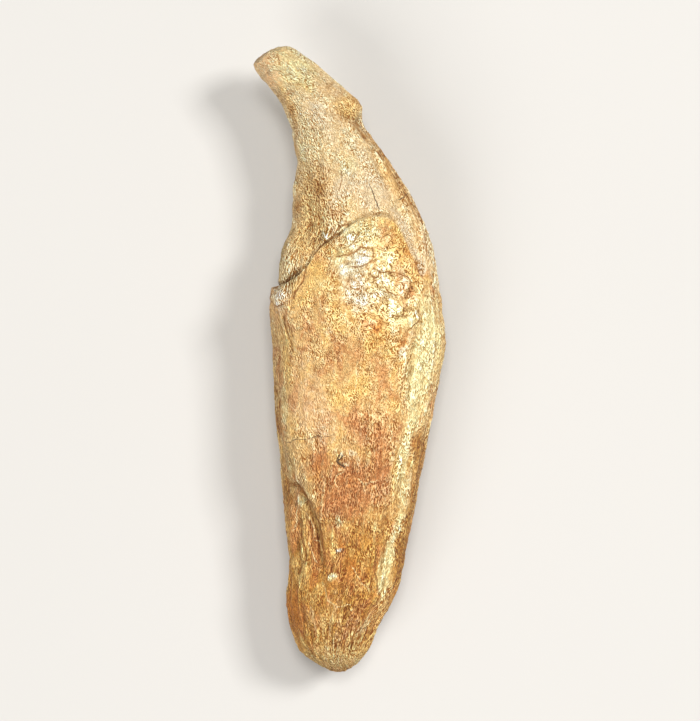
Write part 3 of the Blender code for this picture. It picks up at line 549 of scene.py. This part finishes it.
def ring_distances(line_middle):
    """Distance along the tooth of each ring, closer at both ends and near the line."""
    _, along = spine()
    length = along[-1]
    turn = np.linspace(0.0, np.pi / 2, RINGS_PER_END + 1)
    opening = 1 - np.cos(turn)
    root = opening[1:-1] * ROOT_END
    tip = length - (opening[1:-1] * TIP_END)[::-1]

    def weight_at(place):
        return 1 + LINE_WEIGHT * np.exp(-(((place - line_middle) / LINE_REACH) ** 2))

    between = spread(ROOT_END, length - TIP_END, RINGS_BETWEEN, weight_at)
    return np.concatenate([root, between, tip])


def ring_angles():
    """Angle of each point of a ring: even steps on each face, closer on the upper one."""

    def weight_at(angle):
        across, up = across_of(angle)
        step = np.hypot(SECTION_SHAPE * np.gradient(across), np.gradient(up))
        return step * np.where(np.sin(angle) >= 0, UPPER_WEIGHT, 1.0)

    return spread(0.0, 2 * np.pi, POINTS_PER_RING + 1, weight_at)[:-1]


def grid():
    """Distance along the tooth and angle round it of every point of the skin."""
    angles = ring_angles()
    line = line_distance(angles)
    middle = line.mean()
    rings = ring_distances(middle)
    near = 1 - ease(np.abs(rings - middle), 0.0, RING_BEND_REACH)
    distance = rings[:, None] + near[:, None] * (line - middle)[None, :]
    return distance, np.broadcast_to(angles, distance.shape)


def open_share(distance):
    """Share of the full section at each distance: 1, falling to 0 at the two ends."""
    _, along = spine()
    root = closing(distance, ROOT_END, ROOT_END_POWER)
    return root * closing(along[-1] - distance, TIP_END, TIP_END_POWER)


def base_points(distance, angle):
    """The smooth skin before any relief."""
    rows, along = spine()
    values = smooth_curve(distance, along, rows)
    inner, outer = values[..., 0:2], values[..., 2:4]
    level, rise, drop = values[..., 4], values[..., 5], values[..., 6]
    share = open_share(distance)
    across, up = across_of(angle)
    middle = (inner + outer) / 2
    half = (outer - inner) / 2
    crest = ROOT_CREST + (CROWN_CREST - ROOT_CREST) * ease(middle[..., 1], *CREST_TURN)
    place = (across + crest * up**2) * share
    height = np.where(up >= 0, rise, drop) * up * share
    plan = middle + half * place[..., None]
    return np.concatenate([plan, (level + height)[..., None]], axis=-1)


def normals_of(points):
    """Outward unit normals of a grid of points that closes on itself round each ring."""
    along = np.gradient(points, axis=0)
    round_ring = np.roll(points, -1, axis=1) - np.roll(points, 1, axis=1)
    normal = np.cross(along, round_ring)
    return normal / np.linalg.norm(normal, axis=-1, keepdims=True)


def oval(plan, x, y, half_length, half_width, lean=0.0):
    """1 in the middle of a soft oval, falling to 0 outside it, read in plan."""
    turn = np.radians(lean)
    dx, dy = plan[..., 0] - x, plan[..., 1] - y
    lengthwise = (dy * np.cos(turn) - dx * np.sin(turn)) / half_length
    widthwise = (dx * np.cos(turn) + dy * np.sin(turn)) / half_width
    return np.exp(-(lengthwise**2) - widthwise**2)


def dome_height(plan, domes):
    """Height of the tallest of some low domes with steep sides, read in plan."""
    height = np.zeros(plan.shape[:-1])
    for tall, *shape in domes:
        reach = -np.log(np.maximum(oval(plan, *shape), 1e-9))
        height = np.maximum(height, tall * np.sqrt(np.clip(1 - reach, 0.0, 1.0)))
    return height


def path_distance(plan, path):
    """Distance from each point to a path given as x, y, x, y..., negative on its right."""
    nearest = np.full(plan.shape[:-1], np.inf)
    side = np.ones(plan.shape[:-1])
    corners = np.reshape(path, (-1, 2))
    for start, end in zip(corners, corners[1:]):
        run = end - start
        from_start = plan[..., 0:2] - start
        share = np.clip((from_start @ run) / (run @ run), 0.0, 1.0)
        gap = np.linalg.norm(from_start - share[..., None] * run, axis=-1)
        turn = run[0] * from_start[..., 1] - run[1] * from_start[..., 0]
        closer = gap < nearest
        side = np.where(closer, np.where(turn < 0, -1.0, 1.0), side)
        nearest = np.where(closer, gap, nearest)
    return nearest * side


def streak(plan, half_width, *path):
    """1 on a soft streak along a path, falling to 0 beside it, read in plan."""
    return np.exp(-((path_distance(plan, path) / half_width) ** 2))


def total(shape, points, rows, start=0.0):
    """Sum of a shape over rows that begin with how much of it each row adds."""
    return sum((amount * shape(points, *rest) for amount, *rest in rows), start)


def field(points, wavelength, shift=0.0):
    """Smooth noise, about -1 to 1, at points scaled by one or three wavelengths."""
    flat = (points / np.asarray(wavelength) + shift).reshape(-1, 3)
    values = [noise.noise(Vector(point)) for point in flat.tolist()]
    return np.array(values).reshape(points.shape[:-1])


def ridged(points, wavelength, shift=0.0):
    """Noise with sharp crests, about -1 to 1."""
    return 1 - RIDGE_SHARPNESS * np.abs(field(points, wavelength, shift))


def ledge_height(points, distance, angle):
    """Height of the root cement over the crown, and the groove along the line."""
    ledge = by_face(angle, np.interp, LEDGE_UPPER, LEDGE_UNDER)
    below = line_distance(angle) - distance + total(field, points, LINE_STRAYS)
    rise = ease(below, -LEDGE_SLOPE, LEDGE_SLOPE)
    fade = ease(points[..., 1], *LEDGE_FADE)
    depth, half_width = LINE_GROOVE
    share = ledge / max(LEDGE_UPPER)
    groove = depth * share * np.exp(-(((below + LEDGE_SLOPE) / half_width) ** 2))
    return ledge * rise * fade - groove, below


def grain_of(distance, angle):
    """Each point on a straight cylinder, so that noise can run along the tooth."""
    rows, along = spine()
    widths = smooth_curve(distance, along, np.hypot(rows[:, 2] - rows[:, 0], rows[:, 3] - rows[:, 1]))
    shares = np.clip(widths / widths.max(), GRAIN_LEAST, 1.0)
    radius = GRAIN_RADIUS * np.sqrt(shares) * open_share(distance)
    across, up = across_of(angle)
    fan = 1 + ROOT_FAN * (1 - ease(distance, *FAN_REACH))
    return np.stack([fan * radius * across, GRAIN_FLATNESS * radius * up, distance], axis=-1)


def pits(points):
    """Round pits, 0 outside them to 1 at the bottom, one in some cells of a scatter."""
    depth = []
    for point in (points / PIT_SPACING).reshape(-1, 3).tolist():
        gaps, centres = noise.voronoi(Vector(point))
        chance = noise.cell(centres[0] * PIT_CHANCE_SCALE)
        depth.append(max(0.0, 1 - gaps[0] / PIT_RADIUS) if chance < PIT_SHARE else 0.0)
    return np.array(depth).reshape(points.shape[:-1])


def smoothed(values, rounds):
    """A grid of values blurred along and round the tooth."""
    for _ in range(rounds):
        values = (np.roll(values, 1, axis=1) + values + np.roll(values, -1, axis=1)) / 3
        padded = np.pad(values, ((1, 1), (0, 0)), mode="edge")
        values = (padded[:-2] + values + padded[2:]) / 3
    return values


class Skin:
    """The tooth's points, and what each of them needs for its colour."""

    def __init__(self):
        self.distance, self.angle = grid()
        self.base = base_points(self.distance, self.angle)
        self.grain = grain_of(self.distance, self.angle)
        self.upper = ease(np.sin(self.angle), *STAIN_SIDE)
        self.plan = self.strayed()
        self.masks = {name: self.stain(name) for name in STAINS}
        self.fibrous = self.fibre_share()
        self.rough = self.rough_share()
        self.relief, self.fine = self.heights()

    def strayed(self):
        """Plan places moved a little by noise, so that no stain has a clean edge."""
        plan = self.base[..., 0:2].copy()
        for wavelength, reach in WANDER:
            plan[..., 0] += reach * field(self.base, wavelength, SHIFTS["across"])
            plan[..., 1] += WANDER_ALONG * reach * field(self.base, wavelength, SHIFTS["along"])
        return plan

    def stain(self, name):
        """How much of one stain each point has."""
        upper = total(oval, self.plan, UPPER_OVALS[name])
        upper = total(streak, self.plan, UPPER_STREAKS.get(name, ()), upper)
        under = total(oval, self.plan, UNDER_OVALS[name])
        return np.clip(self.upper * upper + (1 - self.upper) * under, 0.0, 1.0)

    def fibre_share(self):
        """How fibrous the surface is: most low on the root and on the outer flank."""
        x, y = self.base[..., 0], self.base[..., 1]
        share = np.maximum(1 - ease(y, *FIBROUS_LOW), self.masks["threads"])
        for outward, (begin, end) in ((x, FIBROUS_OUTER), (-x, FIBROUS_INNER)):
            share = np.maximum(share, ease(outward, *begin) * (1 - ease(y, *end)))
        return np.clip(FIBROUS_LEAST + (1 - FIBROUS_LEAST) * share, 0.0, 1.0)

    def low_share(self):
        """1 on the darker lower part of the root."""
        return 1 - ease(self.plan[..., 1], *LOW_REACH)

    def rough_share(self):
        """1 in the middle of the knobbly patch under the cement line."""
        return self.upper * ease(oval(self.plan, *ROUGH_OVAL), *ROUGH_REACH)

    def heights(self):
        """The whole relief over the smooth skin, and its fine part alone."""
        plan, up = self.base[..., 0:2], np.sin(self.angle)
        ledge, self.below = ledge_height(self.base, self.distance, self.angle)
        relief = ledge + total(field, self.base, SWELLS)
        for facing, hollows, creases in (
            (up, UPPER_HOLLOWS, UPPER_CREASES),
            (-up, UNDER_HOLLOWS, UNDER_CREASES),
        ):
            depth = total(oval, plan, hollows) + total(streak, plan, creases)
            relief -= ease(facing, *RELIEF_SIDE) * depth
        fine = self.fibres() + self.pitting() + self.rough_patch()
        for lines in LINES.values():
            wide = [(deep, max(width, MESH_LINE_WIDTH), *path) for deep, width, *path in lines]
            fine -= self.upper * total(streak, self.plan, wide)
        calm = ease(open_share(self.distance), 0.0, END_CALM)
        return (relief + fine) * calm, fine * calm

    def fibres(self):
        height = 0.0
        for width, length, tall in FIBRES:
            height = height + tall * ridged(self.grain, (width, width, length), SHIFTS["fibres"])
        return height * self.fibrous * (1 - FIBRES_LOST_TO_ENAMEL * self.masks["enamel"])

    def pitting(self):
        worn = np.clip(self.masks["enamel"] + GOLD_AS_ENAMEL * self.masks["gold"], 0.0, 1.0)
        height = 0.0
        for wavelength, deep in PITTING:
            grain = np.abs(field(self.base, wavelength, SHIFTS["pitting"]))
            height = height - deep * grain * PITTING_GAIN
        height = height - PIT_DEPTH * pits(self.base) * (1 - PITS_LOST_TO_FIBRES * self.fibrous)
        return height * (1 - PITTING_LOST_TO_ENAMEL * worn)

    def rough_patch(self):
        reach, wavelength = ROUGH_TWIST
        twisted = self.base + reach * field(self.base, wavelength, SHIFTS["twist"])[..., None]
        wavelength, tall = ROUGH_LOBES
        height = tall * field(twisted, wavelength, SHIFTS["lobes"])
        for wavelength, deep, width in ROUGH_WORMS:
            worm = field(twisted, wavelength, SHIFTS["worms"]) / width
            height = height - deep * np.exp(-(worm**2))
        return height * self.rough + self.upper * dome_height(self.plan, LOBES)

    def lines(self, lines):
        """Signed distance to the nearest thin line over its half width, and its reach."""
        nearest = np.full(self.angle.shape, np.inf)
        across = np.full(self.angle.shape, LINE_FAR)
        for _, half_width, *path in lines:
            gap = path_distance(self.plan, path)
            closer = np.abs(gap) < nearest
            across = np.where(closer, gap / half_width, across)
            nearest = np.where(closer, np.abs(gap), nearest)
        near = np.exp(-((nearest / LINE_REACH_NEAR) ** 2)) * self.upper
        return np.clip(across, -LINE_FAR, LINE_FAR), near

    def raised_grain(self):
        """The grain with the relief added to it, so that nothing is drawn out on steps."""
        across, up = across_of(self.angle)
        outward = np.stack([across, up, np.zeros(up.shape)], axis=-1)
        outward /= np.linalg.norm(outward, axis=-1, keepdims=True)
        return self.grain + self.relief[..., None] * outward

    def attributes(self):
        """What each point tells the material, by name."""
        crest = self.fine - smoothed(self.fine, FINE_BLUR)
        near, far = (smoothed(self.relief, rounds) for rounds in BROAD_BLUR)
        values = dict(self.masks)
        values["fibrous"] = self.fibrous
        values["rough"] = self.rough
        values["crest"] = np.clip(crest / CREST_HEIGHT, -1.0, 1.0)
        values["broad"] = np.clip((near - far) / BROAD_HEIGHT, -1.0, 1.0)
        values["crown"] = 1 - ease(self.below, -CROWN_EDGE, CROWN_EDGE)
        values["low"] = self.low_share()
        for tone, lines in LINES.items():
            values[tone + "_side"], values[tone + "_near"] = self.lines(lines)
        values["grain"] = self.raised_grain()
        return values


def placed(points, low, high):
    """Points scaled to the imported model's box, with the resting face worn flat."""
    lowest, highest = points.min(axis=0), points.max(axis=0)
    sink = np.array([0.0, 0.0, SEAT_DEPTH * MM])
    scale = (high - low + sink) / (highest - lowest)
    out = (points - lowest) * scale + low - sink
    out[:, 2] = np.maximum(out[:, 2], low[2])
    return out


def faces_of(rings, per_ring):
    """Four-sided faces between the rings, and a fan of triangles at each pole."""
    root_pole = rings * per_ring
    tip_pole = root_pole + 1
    ring = np.arange(rings - 1)[:, None] * per_ring
    i = np.arange(per_ring)[None, :]
    j = (i + 1) % per_ring
    sides = np.stack([ring + i, ring + per_ring + i, ring + per_ring + j, ring + j], axis=-1)
    faces = sides.reshape(-1, 4).tolist()
    last = (rings - 1) * per_ring
    for a, b in zip(range(per_ring), [*range(1, per_ring), 0]):
        faces.append((root_pole, a, b))
        faces.append((tip_pole, last + b, last + a))
    return faces


def build_tooth():
    """The finished tooth as one closed mesh, with the material's values on its points."""
    skin = Skin()
    points = skin.base + skin.relief[..., None] * normals_of(skin.base)
    rings, per_ring = skin.angle.shape
    _, along = spine()
    poles = base_points(np.array([0.0, along[-1]]), np.array([0.0, 0.0]))
    everything = np.concatenate([points.reshape(-1, 3), poles])
    low, high = (np.array(corner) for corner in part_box("tooth"))
    mesh = bpy.data.meshes.new("fossil_tooth")
    vertices = placed(everything * MM, low, high)
    mesh.from_pydata(vertices.tolist(), [], faces_of(rings, per_ring))
    mesh.update()
    mesh.shade_smooth()
    for name, values in skin.attributes().items():
        store(mesh, name, values)
    return linked("fossil_tooth", mesh)


def store(mesh, name, values):
    """Numbers or vectors on the mesh's points, with the end rings' means on the poles."""
    flat = values.reshape(-1, *values.shape[2:])
    flat = np.concatenate([flat, values[:1].mean(axis=1), values[-1:].mean(axis=1)])
    kind, part = ("FLOAT", "value") if flat.ndim == 1 else ("FLOAT_VECTOR", "vector")
    attribute = mesh.attributes.new(name, kind, "POINT")
    attribute.data.foreach_set(part, flat.astype(np.float32).ravel())


def linked(name, data):
    """A new object for some data, in the scene."""
    thing = bpy.data.objects.new(name, data)
    bpy.context.scene.collection.objects.link(thing)
    return thing


# ---------------------------------------------------------------- material


def linear(name):
    """A named colour in linear light, with full alpha."""
    share = np.array(COLOURS[name]) / 255
    low = share / 12.92
    high = ((share + 0.055) / 1.055) ** 2.4
    return (*np.where(share <= 0.04045, low, high).tolist(), 1.0)


class Nodes:
    """Short names for the few kinds of node that the materials are made of."""

    def __init__(self, material):
        material.use_nodes = True
        self.tree = material.node_tree
        self.shader = self.tree.nodes["Principled BSDF"]

    def make(self, kind, inputs, **settings):
        node = self.tree.nodes.new("ShaderNode" + kind)
        for name, value in settings.items():
            setattr(node, name, value)
        for name, value in inputs.items():
            self.put(node.inputs[name], value)
        return node

    def put(self, socket, value):
        if isinstance(value, bpy.types.NodeSocket):
            self.tree.links.new(value, socket)
        else:
            socket.default_value = value

    def value(self, name, output="Fac"):
        return self.make("Attribute", {}, attribute_name=name).outputs[output]

    def math(self, operation, *values):
        inputs = dict(enumerate(values))
        return self.make("Math", inputs, operation=operation).outputs[0]

    def times(self, first, second):
        return self.math("MULTIPLY", first, second)

    def scaled(self, vector, factors):
        inputs = {0: vector, 1: factors}
        return self.make("VectorMath", inputs, operation="MULTIPLY").outputs[0]

    def sum(self, first, second):
        inputs = {0: first, 1: second}
        return self.make("VectorMath", inputs, operation="ADD").outputs[0]

    def noise(self, vector, wavelengths, detail=2.0, roughness=0.55, distortion=0.0):
        factors = tuple(1 / length for length in wavelengths)
        inputs = {
            "Vector": self.scaled(vector, factors),
            "Scale": 1.0,
            "Detail": detail,
            "Roughness": roughness,
            "Distortion": distortion,
        }
        return self.make("TexNoise", inputs).outputs["Fac"]

    def ramp(self, value, start, end, low=0.0, high=1.0):
        """A smooth step of a value from start to end, onto low to high."""
        inputs = {"Value": value, "From Min": start, "From Max": end, "To Min": low, "To Max": high}
        node = self.make("MapRange", inputs, interpolation_type="SMOOTHSTEP")
        return node.outputs["Result"]

    def mix(self, share, first, second, blend="MIX"):
        settings = {"data_type": "RGBA", "blend_type": blend, "clamp_result": True}
        inputs = {"Factor": share, 6: first, 7: second}  # the sockets of its two colours
        return self.make("Mix", inputs, **settings).outputs[2]


def broken(nodes, mask, speckle, reach=STAIN_EDGE):
    """A stain's mask with its edge broken up by a speckle."""
    lifted = nodes.math("MULTIPLY_ADD", nodes.math("SUBTRACT", speckle, 0.5), reach, mask)
    return nodes.times(nodes.ramp(lifted, *EDGE_STEP), nodes.ramp(mask, *FADE_STEP))


def blend_by(nodes, share, first, second):
    """The first value where the share is 0, the second where it is 1."""
    gap = nodes.math("SUBTRACT", second, first)
    return nodes.math("MULTIPLY_ADD", gap, share, first)


def stained(nodes, patchy, clouds):
    """The broad colours: the base from crown to root end, then each stain over it."""
    crown = nodes.value("crown")
    colour = nodes.mix(crown, linear("tan"), linear("cream"))
    colour = nodes.mix(broken(nodes, nodes.value("low"), patchy), colour, linear("umber"))
    cloudy = blend_by(nodes, crown, *CLOUD_SHARE)
    colour = toned(nodes, colour, CLOUD_TONES, clouds, cloudy)
    for name in STAINS_BY_DEPTH:
        share = broken(nodes, nodes.value(name), patchy)
        colour = nodes.mix(nodes.times(share, STAIN_SHARE), colour, linear(name))
    mottled = blend_by(nodes, nodes.value("busy"), *MOTTLE_SHARE)
    return toned(nodes, colour, MOTTLE_TONES, patchy, mottled)


def toned(nodes, colour, tones, value, amount):
    """A colour with some tones laid over it where a value lies in their range."""
    for name, start, end, strength in tones:
        share = nodes.times(nodes.ramp(value, start, end, 0.0, strength), amount)
        colour = nodes.mix(share, colour, linear(name))
    return colour


def swirled(nodes, grain, place):
    """The grain's coordinates, bent by noise so that wrinkles flow round each other."""
    inputs = {"Vector": place, "Scale": 1 / SWIRL_LENGTH, "Detail": 0.0}
    drift = nodes.make("TexNoise", inputs)
    reach = nodes.ramp(nodes.value("fibrous"), FIBROUS_LEAST, 1.0, *SWIRL_REACH)
    return nodes.sum(grain, nodes.scaled(drift.outputs["Color"], reach))


def wrinkles(nodes, bent, size):
    """Noise less the same noise a step away: even, fine wrinkles about 0.5, no blotches."""
    here = nodes.noise(bent, size, 0.0)
    beside = nodes.noise(nodes.sum(bent, WRINKLE_STEP), size, 0.0)
    return nodes.math("ADD", nodes.math("SUBTRACT", here, beside), 0.5)


def loops(nodes, bent):
    """0 on the contour loops of the rough patch, 1 midway between them."""
    wavy = nodes.noise(bent, *LOOP)
    return nodes.math("DIVIDE", nodes.math("PINGPONG", wavy, LOOP_LEVELS), LOOP_LEVELS)


def crinkled(nodes, bent, loop, rough):
    """The fine height about 0.5: short wrinkles, long ones on fibres, loops on lobes."""
    fine, coarse = (
        blend_by(nodes, nodes.value("fibrous"), *(wrinkles(nodes, bent, size) for size in sizes))
        for sizes in ((SHORT_WRINKLE, LONG_WRINKLE), (COARSE_WRINKLE, COARSE_FIBRE))
    )
    share = nodes.times(nodes.value("busy"), COARSE_SHARE)
    plain = nodes.math("MULTIPLY_ADD", nodes.math("SUBTRACT", coarse, 0.5), share, fine)
    return blend_by(nodes, rough, plain, nodes.ramp(loop, *LOOP_HEIGHT))


def speckled_and_shaded(nodes, colour, speckle, patchy, calm):
    """Brown grooves and pale flecks over a colour, less on calm places: partly the cement's own marks,
    partly painted shade where the bump sinks and painted highlight where it rises.
    """
    height = nodes.math("MULTIPLY_ADD", nodes.value("crest"), CREST_IN_SPECKLE, speckle)
    cloudy = nodes.math("SUBTRACT", patchy, 0.5)
    height = nodes.math("MULTIPLY_ADD", cloudy, PATCHES_IN_SPECKLE, height)
    for gain, span in ((linear("shade"), GROOVE_SPAN), (FLECK_AND_HIGHLIGHT_GAIN, FLECK_SPAN)):
        share = nodes.times(nodes.ramp(height, *span), calm)
        colour = nodes.mix(share, colour, gain, "MULTIPLY")
    return colour


def painted_relief_light(nodes, colour):
    """Painted shade in the hollows of the relief and painted highlight on its crests."""
    for name, start, end, strength in RELIEF_SHADE_AND_HIGHLIGHT:
        gain = FLECK_AND_HIGHLIGHT_GAIN if end > 0 else linear("shade")
        share = nodes.ramp(nodes.value(name), start, end, 0.0, strength)
        colour = nodes.mix(share, colour, gain, "MULTIPLY")
    return colour


def lined(nodes, colour, patches, speckle):
    """The thin lines, broken where the surface is worn; the pale ones only on crests."""
    whole = nodes.ramp(patches, *WORN_LINE_STEP)
    crests = nodes.times(nodes.ramp(speckle, *CREST_LINE_STEP), whole)
    for tone, strength in LINE_STRENGTH.items():
        worn = crests if tone == "pale" else whole
        across = nodes.math("ABSOLUTE", nodes.value(tone + "_side"))
        reach = nodes.ramp(across, *LINE_WIDTH_STEP)
        near = nodes.ramp(nodes.value(tone + "_near"), *LINE_NEAR_STEP, strength)
        share = nodes.times(nodes.times(reach, near), worn)
        colour = nodes.mix(share, colour, linear("line_" + tone))
    return colour


def busyness(nodes, grain):
    """How strong the flecks are: less on calm places, more on busy ones."""
    lively = nodes.ramp(nodes.noise(grain, *LIVELY), *LIVELY_STEP)
    calm = nodes.times(nodes.ramp(nodes.value("calm"), *CALM_STEP), lively)
    return nodes.math("MAXIMUM", calm, nodes.times(nodes.value("busy"), BUSY_GAIN))


def tooth_material():
    material = bpy.data.materials.new("fossil_tooth")
    nodes = Nodes(material)
    grain = nodes.value("grain", "Vector")
    place = nodes.make("TexCoord", {}).outputs["Object"]
    place = nodes.scaled(place, (1 / MM, 1 / MM, 1 / MM))
    bent = swirled(nodes, grain, place)
    loop = loops(nodes, bent)
    patches = nodes.noise(place, *PATCHES)
    streaks = nodes.noise(grain, *STREAKS)
    patchy = blend_by(nodes, nodes.value("fibrous"), patches, streaks)
    clouds = nodes.noise(grain, *CLOUDS)
    knobbly = nodes.math("MULTIPLY_ADD", nodes.value("white"), *WHITE_SMOOTHS)
    rough = nodes.times(broken(nodes, nodes.value("rough"), patches, ROUGH_EDGE), knobbly)
    speckle = crinkled(nodes, bent, loop, rough)
    colour = stained(nodes, patchy, clouds)
    colour = toned(nodes, colour, LOOP_TONES, loop, rough)
    # Grooves and flecks, then the relief, add painted shade and painted highlight to the colour.
    colour = speckled_and_shaded(nodes, colour, speckle, patchy, busyness(nodes, grain))
    colour = lined(nodes, painted_relief_light(nodes, colour), patches, speckle)
    nodes.put(nodes.shader.inputs["Base Color"], colour)
    gloss = nodes.ramp(nodes.value("enamel"), *ENAMEL_STEP, *ROUGHNESS)
    gloss = nodes.math("MULTIPLY_ADD", speckle, ROUGHNESS_GAIN, gloss)
    nodes.put(nodes.shader.inputs["Roughness"], gloss)
    inputs = {"Height": speckle, "Strength": 1.0, "Distance": BUMP_DISTANCE}
    bump = nodes.make("Bump", inputs)
    nodes.put(nodes.shader.inputs["Normal"], bump.outputs["Normal"])
    nodes.shader.inputs["Specular IOR Level"].default_value = SPECULAR
    return material


# ---------------------------------------------------------------- studio

CAMERA_HEIGHT = 0.56
OUTLINE_HEIGHT = 0.0095  # height at which the tooth is widest
FRAME_LENGTH = 0.1298  # long side of the picture, at that height
SENSOR = 36.0
LIGHTS = (  # name, place, size, watts
    ("key", (0.85, 0.42, 1.05), 0.36, 15.3),
    ("front", (0.03, 0.32, 1.48), 0.46, 11.8),
    ("fill", (-0.70, -0.95, 1.00), 0.90, 15.0),
)
SKY_STRENGTH = 0.20
SKY_COLOUR = (1.0, 0.98, 0.95, 1.0)
FLOOR_HALF = 1.5
FLOOR_CLOUDS = (0.25, 0.25, 0.25)
FLOOR_SHADE = 0.93  # share of the floor's brightness in its darker clouds
FLOOR_ROUGHNESS = 0.85


def floor_material():
    material = bpy.data.materials.new("floor")
    nodes = Nodes(material)
    place = nodes.make("TexCoord", {}).outputs["Object"]
    cloud = nodes.noise(place, FLOOR_CLOUDS, 3.0)
    light = linear("floor")
    shade = tuple(FLOOR_SHADE * part for part in light[:3]) + (1.0,)
    nodes.put(nodes.shader.inputs["Base Color"], nodes.mix(cloud, shade, light))
    nodes.shader.inputs["Roughness"].default_value = FLOOR_ROUGHNESS
    return material


def build_floor():
    mesh = bpy.data.meshes.new("floor")
    signs = ((-1, -1), (1, -1), (1, 1), (-1, 1))
    corners = [(x * FLOOR_HALF, y * FLOOR_HALF, 0) for x, y in signs]
    mesh.from_pydata(corners, [], [(0, 1, 2, 3)])
    mesh.materials.append(floor_material())
    floor = linked("floor", mesh)


def build_lights():
    for name, place, size, watts in LIGHTS:
        light = bpy.data.lights.new(name, "AREA")
        light.size = size
        light.energy = watts
        lamp = linked(name, light)
        lamp.location = place
        lamp.rotation_euler = (-Vector(place)).to_track_quat("-Z", "Y").to_euler()
    world = bpy.data.worlds.new("studio")
    world.use_nodes = True
    sky = world.node_tree.nodes["Background"]
    sky.inputs["Color"].default_value = SKY_COLOUR
    sky.inputs["Strength"].default_value = SKY_STRENGTH
    bpy.context.scene.world = world


def build_camera():
    """A long lens straight above the tooth, with the crown at the top of the picture."""
    data = bpy.data.cameras.new("camera")
    data.sensor_width = SENSOR
    data.lens = SENSOR * (CAMERA_HEIGHT - OUTLINE_HEIGHT) / FRAME_LENGTH
    camera = linked("camera", data)
    camera.location = (0.0, 0.0, CAMERA_HEIGHT)
    bpy.context.scene.camera = camera
    bpy.context.scene.view_settings.view_transform = "Standard"


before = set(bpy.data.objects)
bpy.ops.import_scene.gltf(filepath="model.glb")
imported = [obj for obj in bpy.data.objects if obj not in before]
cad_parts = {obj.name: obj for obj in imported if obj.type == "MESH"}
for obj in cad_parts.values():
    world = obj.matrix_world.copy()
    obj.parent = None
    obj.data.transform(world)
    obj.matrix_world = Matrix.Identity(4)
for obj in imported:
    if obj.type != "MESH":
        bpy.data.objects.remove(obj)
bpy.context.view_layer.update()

tooth = build_tooth()
tooth.data.materials.append(tooth_material())
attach(tooth, "root")
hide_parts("tooth")
build_floor()
build_lights()
build_camera()

bpy.context.view_layer.update()
